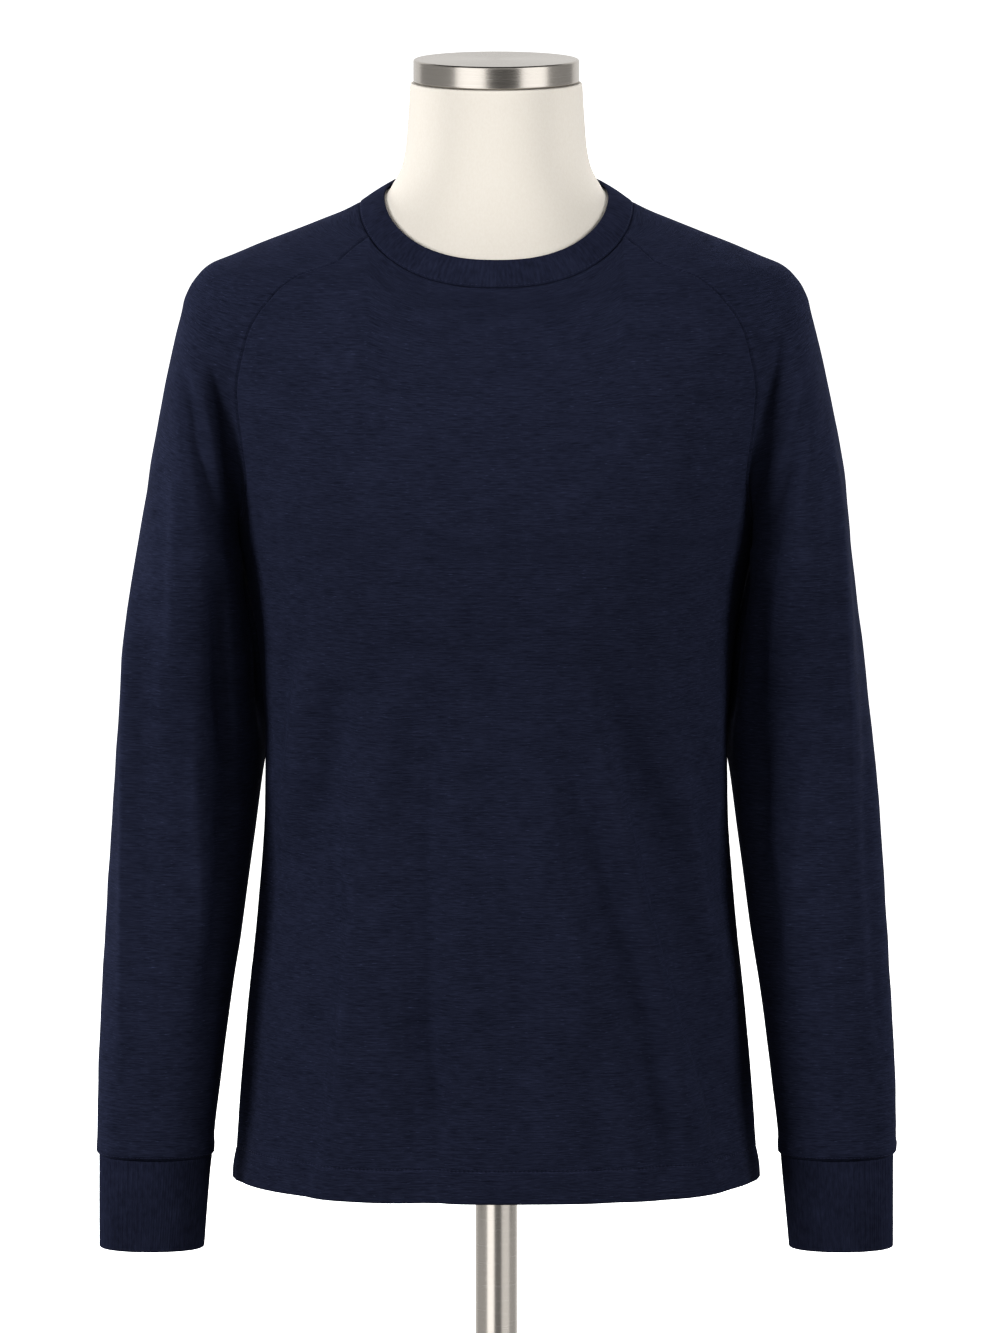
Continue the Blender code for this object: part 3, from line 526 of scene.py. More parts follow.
def fold_depth(folds, across, height):
    """How far in the folds push each point. A fold is (depth, width, lean, line).

    The line is (across, height) points, top first. A ridge has a negative depth. lean makes the
    fold's right side steeper (positive) or its left side (negative), as a fold that falls over.
    """
    sunk = np.zeros(across.shape)
    for depth, width, lean, line in folds:
        distance, share = along_line(line, across, height)
        width = width * (1 - lean * np.sign(distance))
        fade = smooth_step(share / FADE_IN + FADE_LEFT) * smooth_step((1 - share) / FADE_OUT + FADE_LEFT)
        sunk += fade * bell(distance, width, depth=depth)
    return sunk


def uneven(points, size, seed, stretch=(1, 1, 1), depth=1):
    """Smooth irregular values, from about -depth to depth, that change over this many millimetres."""
    flat = (points / (np.array(stretch) * size)).reshape(-1, 3) + seed * SEED_SHIFT
    return depth * np.array([noise.noise(Vector(point)) for point in flat]).reshape(points.shape[:-1])


def room_at(height):
    """How deep the folds over the form may get."""
    return CLOTH + EASE("ease", height) - JERSEY - FORM_CLEARANCE


def limited(sunk, most):
    """The depths, bent over softly before they reach the most that there is room for."""
    free = most / 2
    return np.where(sunk > free, free + free * np.tanh((sunk - free) / free), sunk)


def sewn_edge(distance, depth=1.15, welt=0.3):
    """A sewn edge turns in at the seam, with a low welt beside it where the seam allowance lies."""
    return bell(distance, width=0.9, depth=depth) - bell(distance, centre=2.4, width=1.3, depth=welt)


def beside_seam(distance):
    """How deep the puckers are at this distance from a seam."""
    return bell(distance, centre=3, width=3.2, depth=PUCKER)


def tucked(distance, depth=TUCK):
    """How far the inner face is turned in at a sewn edge."""
    return bell(distance, width=1.6, depth=depth)


def calm(distance, over=SEAM_CALM):
    """0 at a seam and 1 away from it."""
    return 1 - bell(distance, over)


def round_edge(distance, radius):
    """How far the face of a folded edge has turned in at this distance from the edge."""
    t = np.clip(1 - distance / radius, 0, 1)
    return radius * (1 - np.sqrt(1 - EDGE_TURN * t * t))


# ---------------------------------------------------------------- meshes
def placed(points):
    return (np.asarray(points, float) + (0, 0, HEM_ABOVE_FLOOR)) / 1000


def mesh_object(name, points, faces, finish, uv=None):
    mesh = bpy.data.meshes.new(name)
    mesh.from_pydata(points.tolist(), [], faces.tolist())
    if uv is not None:
        layer = mesh.uv_layers.new(name="cloth")
        layer.data.foreach_set("uv", uv.astype(np.float32).ravel())
    mesh.shade_smooth()
    mesh.materials.append(finish)
    made = bpy.data.objects.new(name, mesh)
    bpy.context.scene.collection.objects.link(made)
    return made


def ring_walls(number):
    """The faces between rings of numbered points, each ring closed on itself."""
    turned = np.roll(number, -1, axis=1)
    return np.stack([number[:-1], turned[:-1], turned[1:], number[1:]], axis=-1).reshape(-1, 4)


def cloth(name, outer, inner, uv, finish, closed_rows=0, mirrored=False):
    """A sheet of cloth from the grids of its two faces. uv is in metres, across and along."""
    rows, columns = outer.shape[:2]
    number = np.arange(rows * columns).reshape(rows, columns)
    cells = np.stack([number[:-1, :-1], number[:-1, 1:], number[1:, 1:], number[1:, :-1]], axis=-1)
    cells = cells.reshape(-1, 4)
    merged = number.copy()
    merged[:closed_rows, -1] = merged[:closed_rows, 0]
    sheet = merged.ravel()[cells]
    count = rows * columns
    edges = np.concatenate([np.stack([sheet[:, i], sheet[:, (i + 1) % 4], cells[:, i], cells[:, (i + 1) % 4]],
                                     axis=1) for i in range(4)])
    key = edges[:, 0] * count + edges[:, 1]
    rim = edges[~np.isin(key, edges[:, 1] * count + edges[:, 0])]
    rim_faces = np.stack([rim[:, 1], rim[:, 0], rim[:, 0] + count, rim[:, 1] + count], axis=1)
    rim_cells = rim[:, [3, 2, 2, 3]]
    faces = np.concatenate([sheet, sheet[:, ::-1] + count, rim_faces])
    flat_uv = uv.reshape(-1, 2)
    uvs = np.concatenate([flat_uv[cells], flat_uv[cells[:, ::-1]], flat_uv[rim_cells]]).reshape(-1, 2)
    points = np.concatenate([outer.reshape(-1, 3), inner.reshape(-1, 3)])
    if mirrored:
        points = points * MIRROR
        faces = faces[:, ::-1]
        uvs = uvs.reshape(-1, 4, 2)[:, ::-1].reshape(-1, 2)
    used, faces = np.unique(faces, return_inverse=True)
    return mesh_object(name, placed(points[used]), faces.reshape(-1, 4), finish, uvs)


STITCH_RINGS = [(-0.5, 0.0), (-0.36, 0.75), (0.0, 1.0), (0.36, 0.75), (0.5, 0.0)]   # along, girth
STITCH_SIDES = 6
STITCH_FLATNESS = 0.8       # its height as a share of its width
RIB_STITCH_PITCH = 2.6      # at the collar and the cuffs


def stitches(name, lines, finish, pitch=2.9, length=2.0, girth=0.22):
    """Rows of small stitches that follow lines of cloth, each line given as points and facings."""
    turn = np.arange(STITCH_SIDES) * 2 * math.pi / STITCH_SIDES
    shape = np.array([(along * length, size * girth * math.cos(t),
                       size * girth * STITCH_FLATNESS * math.sin(t))
                      for along, size in STITCH_RINGS for t in turn])
    number = np.arange(len(shape)).reshape(len(STITCH_RINGS), STITCH_SIDES)
    one = ring_walls(number)
    all_points, all_faces, count = [], [], 0
    for points, facing in lines:
        lengths = lengths_along(points)
        at = np.arange(pitch / 2, lengths[-1], pitch)

        def read(values, places):
            return np.stack([np.interp(places, lengths, column) for column in values.T], axis=1)

        middle, out = read(points, at), unit(read(facing, at))
        along = unit(middle - read(points, at - 1))
        beside = unit(np.cross(out, along))
        turned = (middle[:, None] + shape[:, :1] * along[:, None] + shape[:, 1:2] * beside[:, None]
                  + shape[:, 2:] * out[:, None])
        all_points.append(turned.reshape(-1, 3))
        shift = count + np.arange(len(at)) * len(shape)
        all_faces.append((one + shift[:, None, None]).reshape(-1, 4))
        count += len(at) * len(shape)
    return mesh_object(name, placed(np.concatenate(all_points)), np.concatenate(all_faces), finish)


def beside_edges(outer, facing, start):
    """The lines of stitches beside a piece's two raglan edges, from this row up to the collar."""
    rows = slice(start, -4)
    lines = []
    for distance in from_ends(outer[rows], 1):
        points, out = [], []
        for row, way, gone in zip(outer[rows], facing[rows], distance):
            order = np.argsort(gone)
            for values, read in ((row, points), (way, out)):
                read.append([np.interp(STITCH_OFFSET, gone[order], column[order]) for column in values.T])
        lines.append((np.array(points), unit(np.array(out))))
    return lines


# ---------------------------------------------------------------- materials
def colour(red, green, blue):
    """A colour given in everyday 0 to 255 values, as the shader wants it."""
    def linear(value):
        value /= 255
        return value / 12.92 if value <= 0.04045 else ((value + 0.055) / 1.055) ** 2.4
    return linear(red), linear(green), linear(blue), 1.0


class Nodes:
    """Builds a material's node tree."""

    def __init__(self, name):
        self.material = bpy.data.materials.new(name)
        self.material.use_nodes = True
        self.tree = self.material.node_tree
        self.shader = self.tree.nodes["Principled BSDF"]

    def add(self, kind, settings=(), **inputs):
        node = self.tree.nodes.new(kind)
        for key, value in dict(settings).items():
            setattr(node, key, value)
        for key, value in inputs.items():
            self.put(node.inputs[key.replace("_", " ")], value)
        return node

    def put(self, socket, value):
        if isinstance(value, bpy.types.NodeSocket):
            self.tree.links.new(value, socket)
        else:
            socket.default_value = value

    def surface(self, **inputs):
        for key, value in inputs.items():
            self.put(self.shader.inputs[key.replace("_", " ")], value)

    def stretched_noise(self, vector, stretch, detail=2.0, roughness=0.55):
        """Noise whose features are this many times a metre across and along."""
        mapping = self.add("ShaderNodeMapping", Vector=vector)
        mapping.inputs["Scale"].default_value = stretch
        return self.add("ShaderNodeTexNoise", Vector=mapping.outputs["Vector"], Scale=1.0, Detail=detail,
                        Roughness=roughness).outputs["Fac"]

    def spread(self, value, to_low=0.0, to_high=1.0, low=0.3, high=0.7):
        """The value between low and high, spread over another range."""
        return self.add("ShaderNodeMapRange", Value=value, From_Min=low, From_Max=high, To_Min=to_low,
                        To_Max=to_high).outputs["Result"]

    def mix(self, share, first, second):
        node = self.add("ShaderNodeMix", dict(data_type="RGBA"))
        self.put(node.inputs[0], share)
        self.put(node.inputs[6], first)
        self.put(node.inputs[7], second)
        return node.outputs[2]

    def maths(self, operation, first, second=0.0):
        node = self.add("ShaderNodeMath", dict(operation=operation))
        self.put(node.inputs[0], first)
        self.put(node.inputs[1], second)
        return node.outputs[0]

    def bump(self, height, strength, distance):
        node = self.add("ShaderNodeBump", Height=height, Strength=strength, Distance=distance)
        return node.outputs["Normal"]

    def yarn(self, tone, normal):
        """The navy yarn's soft, almost glossless surface."""
        self.surface(Base_Color=tone, Roughness=0.88, Sheen_Weight=0.05, Sheen_Roughness=0.3,
                     Sheen_Tint=colour(120, 128, 176), Specular_IOR_Level=0.06, Normal=normal)


def navy_jersey():
    """Fine jersey of a slub yarn: short lighter and darker dashes along the courses, and a soft nap."""
    made = Nodes("navy jersey")
    uv = made.add("ShaderNodeTexCoord").outputs["UV"]
    dashes = made.stretched_noise(uv, (125, 1200, 1), detail=2.0, roughness=0.5)
    long_dashes = made.stretched_noise(uv, (32, 520, 1), detail=3.0, roughness=0.6)
    clouds = made.stretched_noise(uv, (40, 66, 1), detail=3.0)
    flecks = made.stretched_noise(uv, (210, 1400, 1), detail=1.0)
    share = made.maths("ADD", made.spread(dashes, 0.0, 0.6), made.spread(long_dashes, -0.02, 0.26))
    share = made.maths("ADD", share, made.spread(clouds, -0.03, 0.18))
    body = made.mix(share, colour(23, 26, 39), colour(44, 48, 67))
    tone = made.mix(made.spread(flecks, 0.0, 0.5, 0.66, 0.8), body, colour(71, 77, 104))
    courses = made.add("ShaderNodeTexWave", dict(wave_type="BANDS", bands_direction="Y", wave_profile="SIN"),
                       Vector=uv, Scale=330.0, Distortion=1.5, Detail=1.0)
    height = made.maths("ADD", made.maths("MULTIPLY", courses.outputs["Fac"], 0.4), dashes)
    made.yarn(tone, made.bump(height, 0.55, 0.0004))
    return made.material


def navy_rib():
    """The same yarn knitted as a fine rib: the ribs' own relief is in the mesh, and the shade in their
    grooves is painted as darker stripes.
    """
    made = Nodes("navy rib")
    uv = made.add("ShaderNodeTexCoord").outputs["UV"]
    grain = made.stretched_noise(uv, (420, 160, 1), detail=2.0)
    clouds = made.stretched_noise(uv, (30, 30, 1), detail=2.0)
    share = made.maths("ADD", made.spread(grain, 0.0, 0.5), made.spread(clouds, 0.0, 0.3))
    tone = made.mix(share, colour(26, 29, 43), colour(45, 49, 69))
    ribs = made.add("ShaderNodeTexWave", dict(wave_type="BANDS", bands_direction="X", wave_profile="SIN"),
                    Vector=uv, Scale=1000 / RIB_PITCH / 20 * math.pi, Distortion=0.4, Detail=1.0)
    # painted shade: darker stripes along the ribs, standing in for the shade in the grooves between them
    tone = made.mix(made.spread(ribs.outputs["Fac"], 0.14, 0.0, 0.0, 1.0), tone, colour(17, 18, 28))
    made.yarn(tone, made.bump(grain, 0.4, 0.0003))
    return made.material


def navy_thread():
    made = Nodes("navy thread")
    place = made.add("ShaderNodeTexCoord").outputs["Object"]
    grain = made.stretched_noise(place, (900, 900, 900), detail=1.0)
    made.surface(Base_Color=made.mix(grain, colour(26, 29, 45), colour(48, 52, 77)), Roughness=0.75,
                 Sheen_Weight=0.05, Specular_IOR_Level=0.1, Normal=made.bump(grain, 0.3, 0.0002))
    return made.material


def form_cover():
    """A smooth matt off-white cover with a barely visible fine knit."""
    made = Nodes("form cover")
    place = made.add("ShaderNodeTexCoord").outputs["Object"]
    knit = made.stretched_noise(place, (900, 900, 500), detail=2.0)
    clouds = made.stretched_noise(place, (9, 9, 5), detail=2.0)
    tone = made.mix(made.spread(knit, low=0.35, high=0.65), colour(203, 197, 188), colour(207, 202, 194))
    tone = made.mix(made.spread(clouds, 0.0, 0.35, 0.35, 0.65), tone, colour(200, 194, 184))
    made.surface(Base_Color=tone, Roughness=0.8, Sheen_Weight=0.1, Specular_IOR_Level=0.25,
                 Normal=made.bump(knit, 0.1, 0.0002))
    return made.material


def brushed_steel():
    """Steel brushed round its axis: fine hoops that stretch each highlight up and down."""
    made = Nodes("brushed steel")
    place = made.add("ShaderNodeTexCoord").outputs["Object"]
    hoops = made.stretched_noise(place, (6, 6, 2600), detail=3.0, roughness=0.7)
    tangent = made.add("ShaderNodeTangent", dict(direction_type="RADIAL", axis="Z")).outputs["Tangent"]
    tone = made.mix(hoops, colour(184, 179, 173), colour(210, 206, 200))
    made.surface(Base_Color=tone, Metallic=1.0, Roughness=made.spread(hoops, 0.23, 0.28),
                 Anisotropic=0.25, Anisotropic_Rotation=0.25, Tangent=tangent,
                 Normal=made.bump(hoops, 0.04, 0.0001))
    return made.material


def backdrop():
    made = Nodes("pale floor")
    place = made.add("ShaderNodeTexCoord").outputs["Object"]
    mottle = made.stretched_noise(place, (0.7, 0.7, 0.7))
    made.surface(Base_Color=made.mix(mottle, colour(253, 253, 253), colour(255, 255, 255)), Roughness=0.9,
                 Specular_IOR_Level=0.1, Emission_Color=(1, 1, 1, 1), Emission_Strength=1.0)
    return made.material


# ---------------------------------------------------------------- the sweater's folds
# Each fold is (depth, width, lean, line): see fold_depth. Lines run down in (x, height). The left
# sleeve's are given as on the right one, which it mirrors.
FRONT_FOLDS = [
    (9.0, 13, 0.1, [(42, 330), (53, 290), (62, 245), (74, 200), (86, 158), (102, 100), (112, 40),
                    (118, -30)]),
    (15.0, 15, -0.3, [(70, 380), (81, 325), (94, 280), (107, 238), (116, 200), (127, 160), (139, 122),
                      (154, 66), (164, 0), (170, -60)]),
    (-5.5, 8, 0.0, [(58, 370), (71, 330), (82, 285), (91, 243), (99, 200), (108, 158), (120, 100),
                    (130, 40), (136, -20)]),
    (-3.5, 9, 0.0, [(30, 300), (40, 245), (50, 200), (58, 150), (66, 90)]),
    (-3.0, 7, 0.0, [(120, 300), (136, 240), (148, 180), (158, 110)]),
    (4.5, 9, 0.0, [(124, 345), (137, 300), (148, 255), (156, 200), (162, 140)]),
    (4.0, 6, 0.0, [(-138, 385), (-146, 325), (-151, 272)]),
    (-4.5, 7, 0.0, [(-128, 372), (-133, 330), (-138, 288), (-147, 222)]),
    (8.5, 11, 0.0, [(-106, 362), (-108, 320), (-114, 280), (-121, 235)]),
    (-2.0, 9, 0.0, [(-88, 280), (-95, 235), (-98, 190), (-101, 140), (-107, 90), (-116, 30)]),
    (17.0, 28, 0.52, [(-112, 290), (-116, 240), (-119, 190), (-122, 140), (-128, 90), (-137, 20),
                      (-141, -70)]),
    (6.5, 15, 0.45, [(-48, 366), (-45, 320), (-48, 270), (-47, 220), (-47, 170), (-46, 120), (-42, 70),
                     (-40, 8), (-40, -60)]),
    (6.5, 20, 0.2, [(-52, 150), (-48, 80), (-46, 4), (-46, -50)]),
    (-2.2, 9, 0.0, [(-24, 280), (-24, 180), (-14, 110), (-2, 40)]),
    (-3.0, 9, 0.0, [(-70, 360), (-74, 300), (-76, 240)]),
    (5.0, 13, 0.0, [(56, 130), (72, 60), (82, 4), (90, -40)]),
    (4.0, 10, 0.0, [(106, 66), (114, 35), (118, 4)]),
    (3.5, 12, 0.0, [(12, 220), (18, 130), (22, 40)]),
]
BACK_FOLDS = [
    (6.5, 12, 0.1, [(-60, 350), (-72, 280), (-86, 200), (-112, 50)]),
    (6.0, 11, -0.1, [(20, 370), (26, 280), (24, 200), (34, 90), (36, 30)]),
    (7.5, 10, 0.1, [(88, 330), (100, 260), (116, 180), (142, 60)]),
    (-3.2, 9, 0.0, [(60, 310), (74, 200), (90, 80)]),
    (-3.0, 10, 0.0, [(-20, 300), (-30, 180), (-44, 60)]),
    (3.5, 10, 0.1, [(-124, 330), (-136, 240), (-144, 140)]),
    (3.0, 13, 0.0, [(-14, 130), (-6, 70), (-8, 15)]),
    (1.4, 24, 0.0, [(-70, 575), (0, 548), (66, 578)]),
]
LEFT_SLEEVE_FOLDS = [
    (3.0, 4.5, 0.1, [(194, 572), (187, 550), (181, 528), (176, 500)]),
    (5.0, 6.0, 0.0, [(172, 440), (165, 400), (161, 360), (160, 330), (160, 300)]),
    (-2.5, 4.5, 0.0, [(205, 572), (198, 543), (192, 518), (187, 493), (182, 468), (178, 445)]),
    (3.6, 4.5, 0.0, [(212, 566), (205, 538), (201, 513), (196, 493), (190, 465), (187, 440)]),
    (7.0, 6.5, 0.0, [(188, 440), (187, 400), (186, 350), (183, 300), (182, 270)]),
    (-2.0, 6.0, 0.0, [(216, 550), (210, 512), (204, 482), (199, 455)]),
    (2.4, 6.0, 0.0, [(221, 520), (225, 470), (227, 430), (226, 380), (225, 340)]),
    (-3.5, 5.0, -0.3, [(236, 470), (242, 425), (247, 360), (249, 300), (250, 240), (251, 190), (252, 130),
                       (255, 50)]),
    (3.6, 8.0, 0.0, [(229, 470), (234, 400), (237, 340), (238, 280), (238, 220), (239, 160), (241, 80)]),
    (-1.2, 2.6, 0.0, [(240, 460), (244, 425), (248, 360), (250, 310), (251, 250), (252, 190), (253, 130)]),
    (-2.5, 6.0, 0.2, [(205, 340), (204, 300), (203, 255), (201, 220), (198, 180), (199, 140)]),
    (6.0, 7.0, 0.0, [(184, 300), (184, 260), (186, 215), (189, 175), (193, 130), (197, 80)]),
    (1.0, 4.0, 0.0, [(206, 222), (226, 216), (246, 224)]),
    (0.9, 3.5, 0.0, [(212, 70), (236, 64), (258, 72)]),
]
RIGHT_SLEEVE_FOLDS = [
    (4.5, 4.5, -0.1, [(195, 590), (190, 573), (184, 553), (178, 530), (173, 508)]),
    (5.0, 6.0, 0.0, [(172, 440), (163, 400), (160, 360), (157, 330), (157, 300)]),
    (-2.5, 4.5, 0.0, [(208, 578), (205, 550), (201, 533), (195, 513), (187, 493), (181, 475), (172, 440),
                      (167, 412)]),
    (4.5, 5.5, 0.0, [(202, 515), (196, 490), (190, 463), (185, 435), (182, 400)]),
    (5.0, 7.0, 0.0, [(182, 430), (178, 390), (176, 350), (173, 310)]),
    (-1.4, 5.0, 0.0, [(212, 562), (213, 530), (210, 500), (204, 475)]),
    (-2.6, 4.5, 0.0, [(220, 545), (226, 500), (230, 475), (233, 440), (236, 400), (238, 350), (240, 300),
                      (241, 240)]),
    (3.4, 5.5, 0.0, [(237, 490), (242, 460), (247, 400), (251, 340), (253, 290), (254, 220)]),
    (-1.5, 2.4, 0.0, [(222, 545), (228, 475), (232, 420), (235, 350), (238, 290), (240, 230)]),
    (-2.4, 6.5, -0.2, [(219, 330), (212, 293), (207, 263), (203, 233), (200, 195), (197, 160), (196, 110)]),
    (6.0, 7.0, 0.0, [(182, 330), (180, 285), (180, 240), (185, 195), (189, 150), (194, 100)]),
    (2.6, 5.0, 0.0, [(250, 300), (251, 240), (255, 180), (258, 120), (262, 75)]),
    (1.0, 4.0, 0.0, [(204, 168), (226, 162), (250, 170)]),
    (0.9, 3.5, 0.0, [(208, 70), (232, 64), (256, 72)]),
]
SLEEVE_BACK_FOLDS = [
    (6.0, 6.5, 0.1, [(196, 575), (184, 530), (177, 480), (170, 410), (166, 350)]),
    (-2.4, 5.5, 0.0, [(210, 560), (198, 500), (190, 440)]),
    (4.0, 6.5, 0.0, [(222, 500), (230, 430), (240, 340), (244, 270)]),
    (3.4, 7.0, 0.0, [(204, 320), (210, 240), (216, 140)]),
    (-1.8, 6.0, 0.0, [(226, 300), (230, 220), (232, 120)]),
    (1.2, 4.0, 0.0, [(200, 250), (224, 240), (246, 252)]),
]


# ---------------------------------------------------------------- the sweater's pieces
def blend_facing(facing, target, distance, over=2.5):
    """Turns the facings towards the seam's own one close to the seam."""
    weight = np.exp(-distance / over)[..., None]
    return unit(facing * (1 - weight) + target * weight)


def base_shapes():
    """The smooth right halves of the panels and the right sleeve, with facings that agree at seams."""
    shapes = {}
    for side in (FRONT, BACK):
        half = half_panel(side)
        shapes[side] = [half, facing_of(whole(half))[:, len(PANEL_SHARES) - 1:] * -side]
    sleeve = sleeve_grid()
    closed = len(SLEEVE_HEIGHTS) + 1
    facing = facing_of(sleeve, closed)
    shapes["sleeve"] = [sleeve, facing]
    start = len(PANEL_HEIGHTS)
    across = distance_along(sleeve, 1)
    for side, column in ((FRONT, 0), (BACK, -1)):
        half, panel_facing = shapes[side]
        shared = panel_facing[:, -1].copy()
        shared[:start + 1, 1] = 0
        shared[start:] = unit(shared[start:] + facing[closed - 1:, column])
        shared = unit(shared)
        gone = distance_along(half[:, ::-1], 1)[:, ::-1]
        shapes[side][1] = blend_facing(panel_facing, shared[:, None], gone)
        gone = across if column == 0 else across[:, -1:] - across
        rows = slice(closed - 1, None)
        facing[rows] = blend_facing(facing[rows], shared[start:][:, None], gone[rows])
    for key in (FRONT, BACK, "sleeve"):
        grid, facing = shapes[key]
        down = distance_along(grid[::-1], 0)[::-1]
        shapes[key][1] = blend_facing(facing, facing_at_collar(grid[-1])[None], down, 3.0)
    return shapes, closed


RIPPLED = 160.0             # the soft ripples of the lower part reach up to here
HEM_FREEDOM = 0.55          # share of the folds' depth left at the hem, which is doubled and so stiffer
HEM_CALM = 70.0             # how far up the hem holds them back
CORNER_FLARE = 3.0          # how far the back's lower corners flare out
MEASURED_COLUMN = -12       # the knit's rows are measured along this column, near the side seam


def make_panel(name, side, grid, facing, folds, finish):
    grid, facing = whole(grid), whole(facing)
    x, height = grid[..., 0], grid[..., 2]
    left, right = from_ends(grid, 1)
    from_edge = np.minimum(left, right)
    from_top = from_ends(grid, 0)[1]
    sunk = fold_depth(folds, x, height)
    sunk += uneven(grid, depth=0.55, size=70, seed=side) + uneven(grid, depth=0.3, size=28, seed=side + 5)
    low = 1 - smooth_step(height / RIPPLED)
    sunk += low * uneven(grid, depth=0.9, size=46, seed=side + 9, stretch=(1, 1, 4))
    sunk *= calm(from_edge) * calm(from_top)
    pucker = uneven(grid, size=4.5, seed=side + 3)
    sunk += pucker * (beside_seam(from_edge) + beside_seam(from_top))
    sunk = limited(sunk, room_at(height))
    sunk *= HEM_FREEDOM + (1 - HEM_FREEDOM) * smooth_step(height / HEM_CALM)
    if side == BACK:
        at_hem = 1 - smooth_step((height - 6) / 26)
        sunk -= at_hem * bell(from_edge, centre=11, width=7, depth=CORNER_FLARE)
    raglan = height > UNDERARM - 2
    relief = sewn_edge(from_edge, depth=np.where(raglan, 0.55 + 0.3 * pucker, 1.15),
                       welt=np.where(raglan, 0.25, 0.1))
    relief += sewn_edge(from_top, depth=1.6, welt=0.1)
    fullness = np.sin(np.pi * np.clip(height / HEM_FOLD, 0, 1)) ** 0.5      # of the hem, up to its seam
    relief += bell(height, centre=HEM_FOLD, width=0.8, depth=0.42) - 0.3 * fullness
    relief += bell(height, centre=HEM_FOLD, width=4) * uneven(grid, depth=0.1, size=3.5, seed=side + 12)
    thickness = JERSEY + HEM_DOUBLING * (1 - smooth_step((height - HEM_FOLD + 0.5) / 1.2))
    bottom = round_edge(height, radius=0.95)
    middle = grid - facing * sunk[..., None]
    outer = middle - facing * (relief + bottom)[..., None]
    inner = middle - facing * (thickness + tucked(from_edge) + tucked(from_top) - bottom)[..., None]
    up = distance_along(grid, 0)[:, [MEASURED_COLUMN]]
    uv = np.stack([left - left[:, [left.shape[1] // 2]], up + 0 * left], axis=-1)
    if side == BACK:
        outer, inner, uv, facing = (part[:, ::-1] for part in (outer, inner, uv, facing))
    return cloth(name, outer, inner, uv / 1000, finish), (outer, facing)


BACK_FOLDS_SHIFT = 3.0      # how far the back folds move over from one sleeve to the other
CUFF_SWELL = 0.9            # how far the sleeve swells out above the cuff
INNER_SIDE = 170.0          # the sleeve's side next to the body lies within this x at the elbow,
INNER_SIDE_MIDDLE = 300.0   # which is at this height,
INNER_SIDE_LEAN = 0.06      # and that much further out for each millimetre up or down


def make_sleeve(name, grid, facing, closed, folds, finish, seed, mirrored):
    height = grid[..., 2]
    front, back = from_ends(grid, 1)
    from_seam = np.minimum(front, back)
    from_cuff, from_top = from_ends(grid, 0)
    near_front = smooth_step((0.3 - facing[..., 1]) / 0.5)
    sunk = near_front * fold_depth(folds, grid[..., 0], height)
    sunk += (1 - near_front) * fold_depth(SLEEVE_BACK_FOLDS, grid[..., 0] + BACK_FOLDS_SHIFT * seed, height)
    sunk += uneven(grid, depth=0.8, size=55, seed=seed, stretch=(1, 1, 2))
    sunk += uneven(grid, depth=0.35, size=22, seed=seed + 5)
    gathers = np.exp(-from_cuff / 16) * uneven(grid, depth=0.5, size=6.5, seed=seed + 8, stretch=(1, 1, 5))
    creases = uneven(grid, depth=0.8, size=5, seed=seed + 14, stretch=(5, 5, 1))
    sunk += gathers + creases * bell(from_cuff, centre=7, width=6)
    raglan = (np.arange(len(grid)) >= closed - 1)[:, None]
    sunk *= calm(from_seam, np.where(raglan, SEAM_CALM, 3)) * calm(from_top) * calm(from_cuff, over=2.5)
    inner_side = INNER_SIDE + INNER_SIDE_LEAN * np.abs(height - INNER_SIDE_MIDDLE)
    inside = smooth_step((inner_side - grid[..., 0]) / 14)
    sunk = np.where(sunk < 0, sunk * (1 - 0.8 * inside), sunk)      # ridges stay off the body
    lying = (1 - yoke("hang", YOKE_PLACES))[:, None]
    room = np.full(grid.shape[:2], SLEEVE_ROOM)
    room[closed - 1:] += (room_at(height[closed - 1:]) - SLEEVE_ROOM) * lying
    sunk = limited(sunk, room)
    sunk += uneven(grid, size=4.5, seed=seed + 3) * (beside_seam(from_seam) * raglan + beside_seam(from_top))
    sunk -= bell(from_cuff, centre=5.5, width=3.6, depth=CUFF_SWELL)
    seam_depth = 0.55 + uneven(grid, depth=0.3, size=9, seed=seed + 6)
    relief = sewn_edge(from_seam, depth=np.where(raglan, seam_depth, 0.7), welt=np.where(raglan, 0.42, 0.1))
    relief += sewn_edge(from_top, welt=0.1) + sewn_edge(from_cuff, depth=0.6, welt=0.35)
    middle = grid - facing * sunk[..., None]
    outer = middle - facing * relief[..., None]
    inner = middle - facing * (JERSEY + tucked(from_seam) + tucked(from_top) + tucked(from_cuff))[..., None]
    centre = grid.shape[1] // 2
    uv = np.stack([front - front[:, [centre]], from_cuff[:, [centre]] + 0 * front], axis=-1)
    return cloth(name, outer, inner, uv / 1000, finish, closed, mirrored), (outer, facing)


def rib_columns(girth):
    return round(girth / RIB_PITCH) * POINTS_PER_RIB


def make_band(name, grid, facing, finish, ribs, sunk, relief, edge, from_seam, mirrored=False):
    """A ring of doubled rib with its ribs' relief, a folded edge and an edge sewn to the jersey.

    ribs is the share of the ribs' depth that shows. relief is two depths, of which the first
    fades with the ribs at both ends.
    """
    from_bottom, from_top = from_ends(grid, 0)
    phase = np.broadcast_to(np.arange(grid.shape[1]), grid.shape[:2])
    fade = smooth_step(from_bottom / 1.5) * smooth_step(from_top / 2.0)
    wave = ribs * RIB_DEPTH * np.cos(2 * math.pi * phase / POINTS_PER_RIB)
    fading, steady = relief
    middle = grid - facing * sunk[..., None]
    outer = middle - facing * ((wave + fading) * fade + steady + edge)[..., None]
    inner = middle - facing * (RIB_CLOTH + tucked(from_seam, RIB_TUCK) - edge)[..., None]
    uv = np.stack([phase * RIB_PITCH / POINTS_PER_RIB, from_bottom], axis=-1)
    return cloth(name, outer, inner, uv / 1000, finish, len(grid), mirrored), outer


